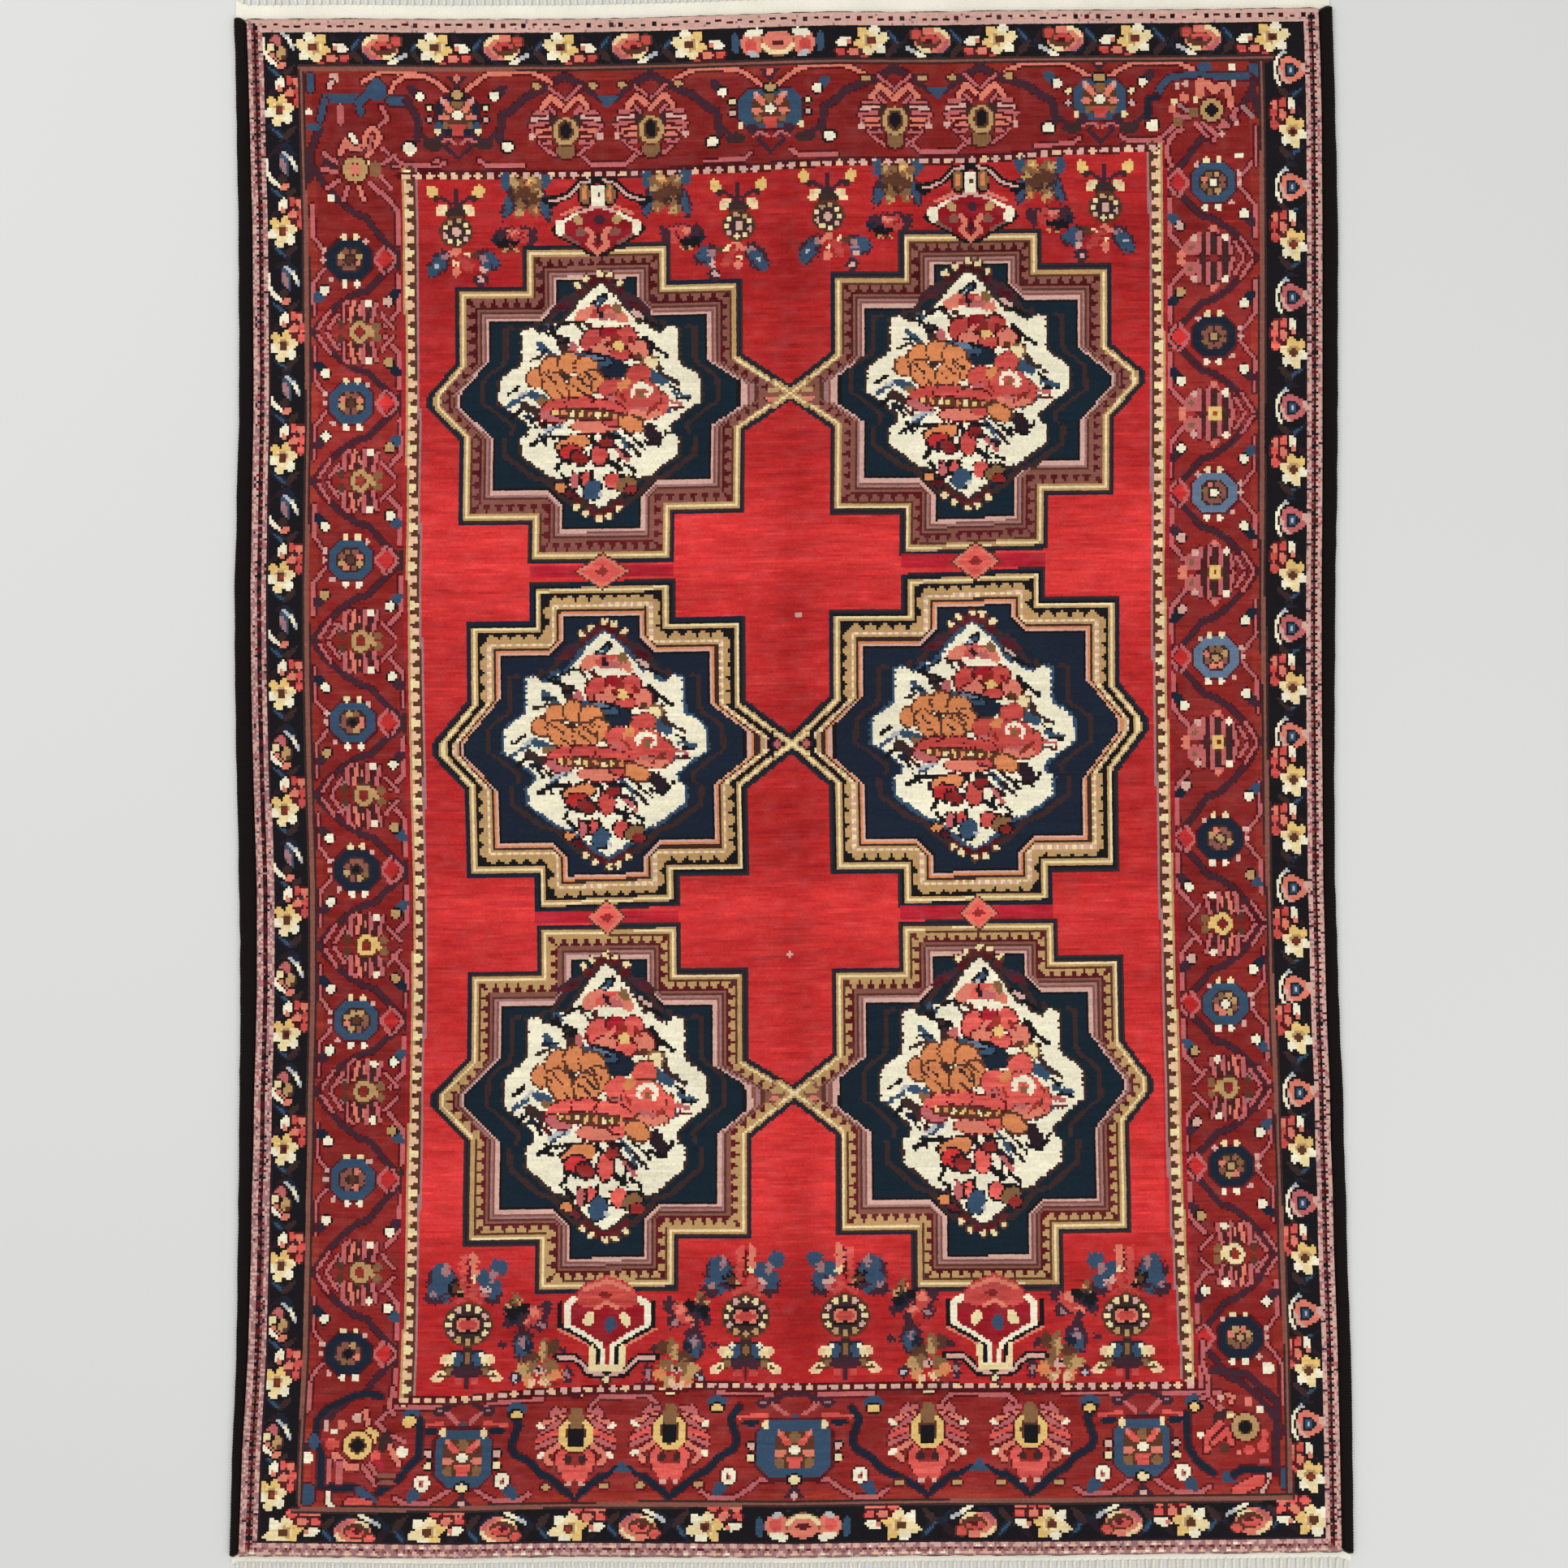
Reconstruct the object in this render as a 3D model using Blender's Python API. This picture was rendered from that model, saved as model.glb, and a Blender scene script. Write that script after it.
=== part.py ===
"""Hand-knotted wool rug with overcast side edges and fringed cotton ends.

The rug lies flat. X runs across it, Y along it, and Z up from its underside. The pile is one
flat solid with the uneven outline of a handmade rug. A goat-hair selvedge is overcast along
each side, and a flat cotton end with its fringe of warp strands closes each end.
"""

import math
import random
from collections import namedtuple

import bmesh
import bpy
import numpy as np

MM = 0.001
RUG_NAME = "persian_rug"

# Driving sizes, in metres
PILE_LENGTH = 2.152
PILE_HEIGHT = 0.011
PILE_RIM_ROUND = 0.003
SELVEDGE_HEIGHT = 0.0085
COTTON_HEIGHT = 0.0024
FRINGE_LENGTH = 0.056
TOP_COTTON_WIDTH = 0.022
BOTTOM_COTTON_WIDTH = 0.010
JOIN_GAP = 0.0003
CORNER_SLANT = 0.006

# How finely the outline is drawn
PILE_COLUMNS = 20
PILE_ROWS = 30
RIM_STEPS = 2
SELVEDGE_SIDES = 10
# The selvedge's two lowest corners are on the floor. This is how far round the first one is.
FLOOR_CORNER_TURN = 0.7 * 2.0 * math.pi

# The fringe
STRANDS_PER_END = 140
STRAND_SPREAD = 0.0018
STRAND_LENGTH_CHANGE = 0.10
StrandStep = namedtuple("StrandStep", "reach width height")
STRAND_STEPS = (
    StrandStep(reach=0.45, width=0.86, height=0.95),
    StrandStep(reach=1.00, width=0.58, height=0.75),
)

# Distances from the rug's middle line to the pile's sides, and the selvedges' widths, in mm,
# from the top end of the pile (0) to its bottom end (1)
SideRow = namedtuple("SideRow", "down left_pile left_selvedge right_pile right_selvedge")
SIDE_ROWS = (
    SideRow(0.000, 763.8, 16.0, 735.4, 17.0),
    SideRow(0.058, 759.2, 17.0, 739.9, 17.5),
    SideRow(0.153, 754.7, 18.0, 741.1, 20.0),
    SideRow(0.248, 753.5, 18.5, 741.1, 20.0),
    SideRow(0.311, 755.8, 19.5, 741.1, 19.0),
    SideRow(0.374, 758.1, 20.5, 739.9, 18.0),
    SideRow(0.437, 756.9, 21.0, 739.9, 17.0),
    SideRow(0.500, 753.5, 22.0, 741.1, 15.0),
    SideRow(0.564, 749.0, 23.0, 742.2, 15.0),
    SideRow(0.627, 749.0, 21.5, 745.6, 16.0),
    SideRow(0.722, 753.5, 18.5, 752.4, 17.0),
    SideRow(0.785, 756.9, 17.0, 756.4, 17.0),
    SideRow(0.880, 761.5, 15.0, 762.6, 17.0),
    SideRow(0.912, 767.1, 13.5, 764.3, 16.5),
    SideRow(0.943, 770.5, 12.5, 766.0, 16.0),
    SideRow(1.000, 775.1, 11.0, 768.3, 15.0),
)

# How far the pile's ends stand proud of straight ones, in mm, from its left side (0) to its
# right side (1)
EndRow = namedtuple("EndRow", "across top bottom")
END_ROWS = (
    EndRow(0.00, -3.4, 0.0),
    EndRow(0.10, -2.6, 1.6),
    EndRow(0.18, -3.8, 3.4),
    EndRow(0.30, -3.4, 0.4),
    EndRow(0.41, 0.0, 1.2),
    EndRow(0.49, 5.2, 2.3),
    EndRow(0.57, 7.4, 0.6),
    EndRow(0.62, 6.4, -1.1),
    EndRow(0.74, 9.2, -1.1),
    EndRow(0.85, 10.0, -3.4),
    EndRow(1.00, 12.4, -5.7),
)

# Wool, goat hair and cotton, as linear red, green and blue
PILE_RED = (0.360, 0.030, 0.032)
GOAT_HAIR_BLACK = (0.018, 0.014, 0.012)
COTTON_CREAM = (0.760, 0.700, 0.570)


def eased(rows, key, value, at):
    """The value that a table's rows give at a place between them, with no kink at a row."""
    places = [getattr(row, key) for row in rows]
    after = min(max(int(np.searchsorted(places, at)), 1), len(rows) - 1)
    low, high = rows[after - 1], rows[after]
    share = (at - getattr(low, key)) / (getattr(high, key) - getattr(low, key))
    share = min(max(share, 0.0), 1.0)
    share = share * share * (3.0 - 2.0 * share)
    return getattr(low, value) + share * (getattr(high, value) - getattr(low, value))


def side_at(value, down):
    """A column of SIDE_ROWS at one of the pile's rows, in metres."""
    return eased(SIDE_ROWS, "down", value, down) * MM


def end_curve(value):
    """One end's unevenness at each of the pile's columns, in metres."""
    steps = np.linspace(0.0, 1.0, PILE_COLUMNS + 1)
    return [eased(END_ROWS, "across", value, step) * MM for step in steps]


TOP_CURVE = end_curve("top")
BOTTOM_CURVE = end_curve("bottom")


def end_offset(curve, across):
    """An end's unevenness anywhere across the rug, straight between the pile's columns. Past the
    pile, the end slants outwards over the selvedge."""
    steps = np.linspace(0.0, 1.0, PILE_COLUMNS + 1)
    past = max(-across, across - 1.0, 0.0)
    selvedge_share = SIDE_ROWS[0].left_selvedge / (2.0 * SIDE_ROWS[0].left_pile)
    return float(np.interp(across, steps, curve)) + CORNER_SLANT * past / selvedge_share


def x_at(across, down):
    """The place across the rug, where 0 is the pile's left side and 1 its right side."""
    left = -side_at("left_pile", down)
    right = side_at("right_pile", down)
    return left + across * (right - left)


def y_at(across, down):
    """The place along the rug, where 0 is the pile's top end and 1 its bottom end."""
    top = PILE_LENGTH / 2.0 + end_offset(TOP_CURVE, across)
    bottom = -PILE_LENGTH / 2.0 - end_offset(BOTTOM_CURVE, across)
    return top + down * (bottom - top)


def make_material(name, colour, roughness):
    """A plain cloth finish."""
    material = bpy.data.materials.new(name)
    material.use_nodes = True
    shader = material.node_tree.nodes["Principled BSDF"]
    shader.inputs["Base Color"].default_value = (*colour, 1.0)
    shader.inputs["Roughness"].default_value = roughness
    shader.inputs["Metallic"].default_value = 0.0
    return material


def add_object(name, mesh_builder, material, collection):
    """Turns a finished bmesh into one closed, outward-facing object."""
    bmesh.ops.recalc_face_normals(mesh_builder, faces=mesh_builder.faces)
    mesh = bpy.data.meshes.new(name)
    mesh_builder.to_mesh(mesh)
    mesh_builder.free()
    mesh.materials.append(material)
    piece = bpy.data.objects.new(name, mesh)
    collection.objects.link(piece)
    return piece


def unit_grid(columns, rows):
    """A flat grid whose X and Y run from 0 to 1."""
    builder = bmesh.new()
    bmesh.ops.create_grid(builder, x_segments=columns, y_segments=rows, size=0.5)
    bmesh.ops.translate(builder, verts=builder.verts, vec=(0.5, 0.5, 0.0))
    return builder


def build_pile(material, collection):
    """The knotted pile: a flat slab with the rug's outline and a rounded upper rim."""
    builder = unit_grid(PILE_COLUMNS, PILE_ROWS)
    for vert in builder.verts:
        across, up = vert.co.x, vert.co.y
        vert.co = (x_at(across, 1.0 - up), y_at(across, 1.0 - up), 0.0)
    raised = bmesh.ops.extrude_face_region(builder, geom=builder.faces[:])["geom"]
    top_verts = [item for item in raised if isinstance(item, bmesh.types.BMVert)]
    bmesh.ops.translate(builder, verts=top_verts, vec=(0.0, 0.0, PILE_HEIGHT))
    half_height = PILE_HEIGHT / 2.0
    rim = [
        edge
        for edge in builder.edges
        if min(vert.co.z for vert in edge.verts) > half_height
        and any(min(vert.co.z for vert in face.verts) < half_height for face in edge.link_faces)
    ]
    bmesh.ops.bevel(
        builder,
        geom=rim,
        offset=PILE_RIM_ROUND,
        segments=RIM_STEPS,
        profile=0.5,
        affect="EDGES",
        material=-1,
    )
    return add_object("rug_pile", builder, material, collection)


def selvedge_point(side, turn, down):
    """A point on a selvedge's flat oval section, which stands on the floor beside the pile."""
    width = side_at(side + "_selvedge", down)
    outwards = -1.0 if side == "left" else 1.0
    pile_side = x_at(0.0 if side == "left" else 1.0, down)
    lowest = math.sin(FLOOR_CORNER_TURN)
    height_share = (math.sin(turn) - lowest) / (-2.0 * lowest)
    middle = JOIN_GAP + width / 2.0
    x = pile_side + outwards * (middle + math.cos(turn) * width / 2.0)
    pile_left, pile_right = x_at(0.0, down), x_at(1.0, down)
    across = (x - pile_left) / (pile_right - pile_left)
    return x, y_at(across, down), height_share * SELVEDGE_HEIGHT


def build_selvedge(side, material, collection):
    """An overcast cord along one side, rolled up from a flat grid and capped at its ends."""
    builder = unit_grid(SELVEDGE_SIDES, PILE_ROWS)
    for vert in builder.verts:
        turn, up = vert.co.x * 2.0 * math.pi, vert.co.y
        vert.co = selvedge_point(side, turn, 1.0 - up)
    bmesh.ops.remove_doubles(builder, verts=builder.verts, dist=1e-5)
    open_edges = [edge for edge in builder.edges if edge.is_boundary]
    bmesh.ops.holes_fill(builder, edges=open_edges, sides=SELVEDGE_SIDES)
    return add_object(f"selvedge_{side}", builder, material, collection)


def across_limits(down):
    """The outer sides of the two selvedges, as places across the rug."""
    pile_width = x_at(1.0, down) - x_at(0.0, down)
    left = -side_at("left_selvedge", down) / pile_width
    right = 1.0 + side_at("right_selvedge", down) / pile_width
    return left, right


def grow_strand(builder, face, outwards, lean, length):
    """Draws one warp strand out of the cotton end, narrower at each step, level on the floor."""
    root = face.calc_center_median().copy()
    for step in STRAND_STEPS:
        grown = bmesh.ops.extrude_discrete_faces(builder, faces=[face])["faces"]
        face = grown[0]
        middle = face.calc_center_median().x
        target = root.x + lean * step.reach
        for vert in face.verts:
            vert.co.x = target + (vert.co.x - middle) * step.width
            vert.co.y = root.y + outwards * length * step.reach
            vert.co.z *= step.height


def build_cotton_end(end, cotton_width, material, collection):
    """A flat cotton strip along one end, with the fringe's strands fused into its outer edge."""
    down = 0.0 if end == "top" else 1.0
    outwards = 1.0 if end == "top" else -1.0
    draw = random.Random(f"{end} fringe")
    columns = 2 * STRANDS_PER_END + 1
    builder = unit_grid(columns, 1)
    low, high = across_limits(down)
    half_column = (high - low) / columns / 2.0
    for vert in builder.verts:
        across = low + vert.co.x * (high - low)
        if abs(across - round(across)) < half_column:
            across = round(across)  # a column starts where the pile meets the selvedge
        outer = vert.co.y > 0.5
        reach = JOIN_GAP + (cotton_width if outer else 0.0)
        vert.co = (x_at(across, down), y_at(across, down) + outwards * reach, 0.0)
    raised = bmesh.ops.extrude_face_region(builder, geom=builder.faces[:])["geom"]
    top_verts = [item for item in raised if isinstance(item, bmesh.types.BMVert)]
    bmesh.ops.translate(builder, verts=top_verts, vec=(0.0, 0.0, COTTON_HEIGHT))
    bmesh.ops.recalc_face_normals(builder, faces=builder.faces)
    outer_faces = [face for face in builder.faces if face.normal.y * outwards > 0.5]
    outer_faces.sort(key=lambda face: face.calc_center_median().x)
    for face in outer_faces[1::2]:
        lean = draw.uniform(-STRAND_SPREAD, STRAND_SPREAD)
        length = FRINGE_LENGTH * (1.0 - draw.uniform(0.0, STRAND_LENGTH_CHANGE))
        grow_strand(builder, face, outwards, lean, length)
    return add_object(f"cotton_end_{end}", builder, material, collection)


def centre_on_origin(pieces):
    """Moves the rug so that the middle of its underside is at the origin."""
    points = np.array([vert.co for piece in pieces for vert in piece.data.vertices])
    middle = (points.min(axis=0) + points.max(axis=0)) / 2.0
    for piece in pieces:
        piece.location = (-middle[0], -middle[1], 0.0)


def main():
    for old in list(bpy.data.objects):
        bpy.data.objects.remove(old, do_unlink=True)
    collection = bpy.data.collections.new(RUG_NAME)
    bpy.context.scene.collection.children.link(collection)
    wool = make_material("wool_pile", PILE_RED, 0.95)
    goat_hair = make_material("goat_hair", GOAT_HAIR_BLACK, 0.85)
    cotton = make_material("cotton", COTTON_CREAM, 0.90)
    pieces = [build_pile(wool, collection)]
    for side in ("left", "right"):
        pieces.append(build_selvedge(side, goat_hair, collection))
    for end, cotton_width in (("top", TOP_COTTON_WIDTH), ("bottom", BOTTOM_COTTON_WIDTH)):
        pieces.append(build_cotton_end(end, cotton_width, cotton, collection))
    centre_on_origin(pieces)


main()
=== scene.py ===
"""A hand-knotted Persian rug: its wool pile, woven back, overcast side cords and cotton ends.

The rug is woven knot by knot from a chart. The chart is drawn in code from simple shapes, band by
band, and each knot of it becomes one face of the pile. Distances are in metres unless a name or a
comment says knots."""

import contextlib
import functools
import math
import random
import re
from collections import namedtuple

import bmesh
import bpy
import numpy as np
from mathutils import Matrix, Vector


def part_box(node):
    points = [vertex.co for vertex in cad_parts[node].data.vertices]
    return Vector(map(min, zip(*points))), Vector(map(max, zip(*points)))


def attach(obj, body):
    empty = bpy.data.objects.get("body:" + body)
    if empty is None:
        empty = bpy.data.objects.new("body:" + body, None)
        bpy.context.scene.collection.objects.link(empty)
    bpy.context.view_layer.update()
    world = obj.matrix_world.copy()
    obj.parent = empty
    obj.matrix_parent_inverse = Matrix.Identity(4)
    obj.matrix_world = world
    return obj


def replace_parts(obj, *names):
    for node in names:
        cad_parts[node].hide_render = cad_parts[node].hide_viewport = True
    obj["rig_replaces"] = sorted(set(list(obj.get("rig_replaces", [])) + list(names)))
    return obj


bl_info = {
    "name": "Persian Rug",
    "version": (1, 0, 0),
    "blender": (4, 5, 0),
    "location": "3D View > Sidebar > Rug",
    "description": "Weaves a hand-knotted rug from a chart and lays it on a pale floor",
    "category": "Object",
}

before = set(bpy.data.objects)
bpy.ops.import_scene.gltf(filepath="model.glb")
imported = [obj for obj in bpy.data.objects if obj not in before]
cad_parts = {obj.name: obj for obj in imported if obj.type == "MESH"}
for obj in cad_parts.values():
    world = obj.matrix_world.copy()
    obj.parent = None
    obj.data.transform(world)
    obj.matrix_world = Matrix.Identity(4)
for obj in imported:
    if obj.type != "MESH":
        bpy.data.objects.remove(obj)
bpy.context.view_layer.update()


# ---- What a user may change ----


def length(name, description, default):
    return bpy.props.FloatProperty(
        name=name, description=description, default=default, min=0.0, unit="LENGTH", precision=5
    )


def dye(name, red, green, blue):
    """A yarn's colour, given as it is seen, from 0 to 255."""
    return bpy.props.FloatVectorProperty(
        name=name,
        description=f"Colour of the {name.lower()} yarn",
        subtype="COLOR_GAMMA",
        default=(red / 255, green / 255, blue / 255),
        min=0.0,
        max=1.0,
    )


class RugSizes(bpy.types.PropertyGroup):
    pile_wall: length("Pile wall", "Height of the pile's upright side, below its rounded rim", 0.008)
    pile_floor: length("Pile floor", "Height at which the pile's side meets the woven back", 0.0015)
    back_height: length("Back height", "Thickness of the woven back under the pile", 0.0018)
    back_inset: length("Back inset", "How far the woven back stays inside the pile's side", 0.0004)
    knot_shift: length("Knot shift", "How far a knot may stray from its place", 0.0005)
    tuft_rise: length("Tuft rise", "How far a tuft may stand proud of its neighbours", 0.0003)
    cord_ridge: length("Cord ridge", "Height of the wraps on the side cords", 0.0004)
    wrap_pitch: length("Wrap pitch", "Distance from one wrap of the side cords to the next", 0.0042)
    # the dark twined yarn also stands for painted shade along the pile's ends
    twine_width: length("Twine width", "Width of the dark twined yarn along each end", 0.0024)
    cotton_height: length("Cotton height", "Thickness of the flat-woven cotton ends", 0.0018)
    cotton_rib: length("Cotton rib", "Height of the weave's ribs on the cotton ends", 0.00022)
    fringe_yarn: length("Fringe yarn", "Thickness of one yarn of a fringe strand", 0.0019)
    fringe_twist: length("Fringe twist", "Length in which a strand's yarns turn round once", 0.018)
    view_height: length("View height", "Height of the camera above the floor", 3.054)


class RugColours(bpy.types.PropertyGroup):
    soot: dye("Soot", 24, 21, 25)
    night: dye("Night", 21, 37, 49)
    navy: dye("Navy", 28, 37, 53)
    slate: dye("Slate", 58, 82, 108)
    sky: dye("Sky", 104, 124, 150)
    fog: dye("Fog", 192, 192, 194)
    plum: dye("Plum", 68, 38, 50)
    aubergine: dye("Aubergine", 44, 28, 36)
    bark: dye("Bark", 62, 42, 40)
    umber: dye("Umber", 96, 56, 40)
    clay: dye("Clay", 142, 88, 76)
    bronze: dye("Bronze", 140, 100, 66)
    camel: dye("Camel", 196, 156, 104)
    apricot: dye("Apricot", 226, 140, 88)
    maize: dye("Maize", 240, 200, 122)
    peach: dye("Peach", 242, 200, 160)
    cream: dye("Cream", 248, 226, 172)
    ivory: dye("Ivory", 252, 244, 214)
    garnet: dye("Garnet", 88, 18, 24)
    madder: dye("Madder", 142, 36, 33)
    brick: dye("Brick", 152, 46, 36)
    field: dye("Field", 200, 44, 44)
    crimson: dye("Crimson", 168, 26, 40)
    coral: dye("Coral", 216, 84, 76)
    salmon: dye("Salmon", 230, 130, 108)
    rose: dye("Rose", 198, 104, 104)
    blush: dye("Blush", 222, 176, 162)
    mauve: dye("Mauve", 170, 122, 124)
    goat_hair: dye("Goat hair", 20, 15, 13)
    cotton: dye("Cotton", 250, 246, 229)
    floor: dye("Floor", 236, 236, 234)


YARN_NUMBER = {name: number for number, name in enumerate(RugColours.__annotations__)}

# ---- The weaver's chart: one yarn number for each knot ----

KNOT_COLUMNS = 476
KNOT_ROWS = 672

# The forms that motifs are built from. Each tests how far right and down of the form's middle a
# knot is, against the form's width and height.
FORMS = {
    "oval": lambda right, down, wide, high: (2 * right / wide) ** 2 + (2 * down / high) ** 2 <= 1,
    "diamond": lambda right, down, wide, high: 2 * abs(right) / wide + 2 * abs(down) / high <= 1,
    "block": lambda right, down, wide, high: (2 * abs(right) <= wide) & (2 * abs(down) <= high),
    "leaf": lambda right, down, wide, high: 2 * abs(down) <= high * (1 - (2 * right / wide) ** 2),
}
# How much wider and higher than a form its dark edge is, where nothing else is said
EDGE_GROWTH = {"oval": (2, 2), "diamond": (2.4, 2.4), "leaf": (2.4, 2)}
# How much wider than a line its halo is
HALO_GROWTH = 1.3
# The left and the right side of a motif
BOTH = (-1, 1)
# A part's words: both sides, its yarn, form and sizes, its edge and how wide the edge is
PART = re.compile(r"(both )?(\w+) ?([a-z]*) ?([-\d. x/]*)(?:\+(\w+) ?([\d.]*))?")


@functools.lru_cache(maxsize=None)
def read_parts(text):
    """The parts of a motif that is written out, parted by semicolons.

    A part is a yarn, a form, its width x height / turn, a plus and its edge, a colon and its
    places, as in "rose leaf 8x3/20 +soot .6: 4 1, 6 2". A part that names no form is an oval,
    or, with one size, a line through its places. One that starts with "both" is drawn on both
    sides of the motif's middle."""
    parts = []
    for part in text.split(";"):
        head, _, tail = part.partition(":")
        both, yarn, form, sizes, edge, edge_width = PART.fullmatch(head.strip()).groups()
        sizes = [float(size) for size in re.split("[x/ ]+", sizes.strip()) if size]
        form = form or ("line" if len(sizes) == 1 else "oval")
        points = [tuple(map(float, point.split())) for point in (tail or "0 0").split(",")]
        parts.append((both, yarn, form, sizes, edge, float(edge_width or 0), points))
    return parts


def mirrored(half):
    """A whole outline from its right half, which starts and ends on the middle line."""
    return half + [(-x, y) for x, y in half[:0:-1] if x]


class Spot:
    """A window of the chart round one motif, in the motif's own knots.

    `along` and `inward` are the chart directions of the motif's own x and y."""

    def __init__(self, chart, col, row, reach, along=(1, 0), inward=(0, 1), size=1.0):
        low_col, low_row = max(int(col - reach), 0), max(int(row - reach), 0)
        self.knots = chart[low_row : int(row + reach) + 1, low_col : int(col + reach) + 1]
        rows, cols = np.mgrid[0 : self.knots.shape[0], 0 : self.knots.shape[1]]
        right, down = cols + (low_col + 0.5 - col), rows + (low_row + 0.5 - row)
        self.x = (right * along[0] + down * along[1]) / size
        self.y = (right * inward[0] + down * inward[1]) / size

    def roughen(self, draw, amount):
        """Lets every later edge in this window wander a little, knot by knot."""
        source = np.random.default_rng(draw.randrange(10**6))
        self.x = self.x + source.uniform(-amount, amount, self.x.shape)
        self.y = self.y + source.uniform(-amount, amount, self.y.shape)

    def fill(self, mask, yarn):
        self.knots[mask] = YARN_NUMBER[yarn]

    def stamp(self, form, x, y, wide, high, yarn, turn=0, edge=None, edge_width=0):
        """One form, turned clockwise, and its edge under it."""
        right, down = self.x - x, self.y - y
        if turn:
            cosine, sine = math.cos(math.radians(turn)), math.sin(math.radians(turn))
            right, down = right * cosine + down * sine, down * cosine - right * sine
        if edge:
            wider, higher = (2 * edge_width, 2 * edge_width) if edge_width else EDGE_GROWTH[form]
            self.fill(FORMS[form](right, down, wide + wider, high + higher), edge)
        self.fill(FORMS[form](right, down, wide, high), yarn)

    def ring(self, x, y, yarn, wide, high, band, start=0, sweep=360):
        """An oval band, or an arc of it from `start`, clockwise from the right."""
        right, down = self.x - x, self.y - y
        inner = FORMS["oval"](right, down, max(wide - 2 * band, 0.1), max(high - 2 * band, 0.1))
        mask = FORMS["oval"](right, down, wide, high) & ~inner
        if sweep < 360:
            mask &= (np.degrees(np.arctan2(down, right)) - start) % 360 <= sweep
        self.fill(mask, yarn)

    def shape(self, points, yarn):
        """A closed outline, filled."""
        inside = np.zeros(self.x.shape, bool)
        for (x1, y1), (x2, y2) in zip(points, points[1:] + points[:1]):
            crosses = (y1 > self.y) != (y2 > self.y)
            at = x1 + (self.y - y1) * (x2 - x1) / ((y2 - y1) or 1e-9)
            inside ^= crosses & (self.x < at)
        self.fill(inside, yarn)

    def plate(self, x, y, yarn, wide, high, cut):
        """A box with its corners cut."""
        out, up = wide / 2, high / 2
        right = [(0, -up), (out - cut, -up), (out, cut - up), (out, up - cut), (out - cut, up), (0, up)]
        self.shape([(x + p, y + q) for p, q in mirrored(right)], yarn)

    def line(self, points, width, yarn):
        """A line through points, with round ends."""
        for (x1, y1), (x2, y2) in zip(points, points[1:]):
            run, rise = x2 - x1, y2 - y1
            share = ((self.x - x1) * run + (self.y - y1) * rise) / (run * run + rise * rise)
            share = np.clip(share, 0, 1)
            off = np.hypot(self.x - x1 - share * run, self.y - y1 - share * rise)
            self.fill(off <= width / 2, yarn)

    def paint(self, text, sides=(1,), halo=None, edge=None, edge_width=0, stretch=1):
        """Draws a motif's parts in turn, on one or both sides of its middle.

        A halo goes under each line and an edge under each form that names none of its own.
        `stretch` spreads the places sideways."""
        for both, yarn, form, sizes, own_edge, own_width, points in read_parts(text):
            for side in BOTH if both else sides:
                moved = [(side * x * stretch, y) for x, y in points]
                if form == "shape":
                    self.shape(moved, yarn)
                elif form == "line":
                    if halo:
                        self.line(moved, sizes[0] + HALO_GROWTH, halo)
                    self.line(moved, sizes[0], yarn)
                elif form in ("ring", "plate"):
                    for x, y in moved:
                        getattr(self, form)(x, y, yarn, *sizes)
                else:
                    wide, high, turn = (*sizes, 0)[:3]
                    rim = (own_edge, own_width) if own_edge else (edge, edge_width)
                    for x, y in moved:
                        self.stamp(form, x, y, wide, high, yarn, side * turn, *rim)


# ---- Where the bands of the rug part, in knots: (how far along, how far across) ----

PARTING = {
    "left": ((0, 23.2), (60, 23.6), (250, 24.9), (430, 25.0), (672, 25.4)),
    "right": ((0, 449.6), (60, 449.3), (200, 448.8), (300, 450.4), (400, 451.5), (672, 454.2)),
    "top": ((0, 21.8), (476, 21.4)),
    "bottom": ((0, 651.6), (60, 650.9), (160, 649.2), (240, 648.5), (476, 647.8)),
}
BEADS = {
    "left": ((66, 69.6), (150, 70.0), (200, 71.0), (290, 72.8), (400, 72.0), (520, 70.4), (604, 69.6)),
    "right": ((59, 402.3), (150, 403.2), (240, 403.8), (320, 405.3), (420, 407), (510, 407.6), (600, 411.4)),
    "top": ((66, 68.8), (180, 68.0), (225, 67.3), (245, 66.0), (330, 64.6), (360, 61.9), (404, 60.2)),
    "bottom": ((66, 603.2), (92, 602.7), (120, 600.2), (200, 596.8), (250, 597.8), (412, 598.6)),
}
# The chart directions along each side of the rug, and in from it
SIDE_TURNS = {
    "top": ((1, 0), (0, 1)),
    "bottom": ((1, 0), (0, -1)),
    "left": ((0, 1), (1, 0)),
    "right": ((0, 1), (-1, 0)),
}


def across(table, along):
    return np.interp(along, [point[0] for point in table], [point[1] for point in table])


def paint_between(chart, tables, spare, yarn):
    """The knots that lie inside all four lines of one set, `spare` knots clear of them."""
    rows, cols = np.mgrid[0:KNOT_ROWS, 0:KNOT_COLUMNS] + 0.5
    inside = cols > across(tables["left"], rows) + spare
    inside &= cols < across(tables["right"], rows) - spare
    inside &= rows > across(tables["top"], cols) + spare
    inside &= rows < across(tables["bottom"], cols) - spare
    chart[inside] = YARN_NUMBER[yarn]


def stroke(chart, points, width, yarn):
    """A line on the chart itself, one window for each part of it."""
    for (x1, y1), (x2, y2) in zip(points, points[1:]):
        if (x1, y1) != (x2, y2):
            col, row = (x1 + x2) / 2, (y1 + y2) / 2
            spot = Spot(chart, col, row, max(abs(x2 - x1), abs(y2 - y1)) / 2 + width + 2)
            spot.line([(x1 - col, y1 - row), (x2 - col, y2 - row)], width, yarn)


def place(side, along, inward):
    """A chart place from how far along a border it is, and how deep in it (0 to 1)."""
    out = across(PARTING[side], along)
    deep = out + (across(BEADS[side], along) - out) * inward
    return (along, deep) if side in ("top", "bottom") else (deep, along)


def trace(chart, side, points, width, yarn):
    stroke(chart, [place(side, along, inward) for along, inward in points], width, yarn)


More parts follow.
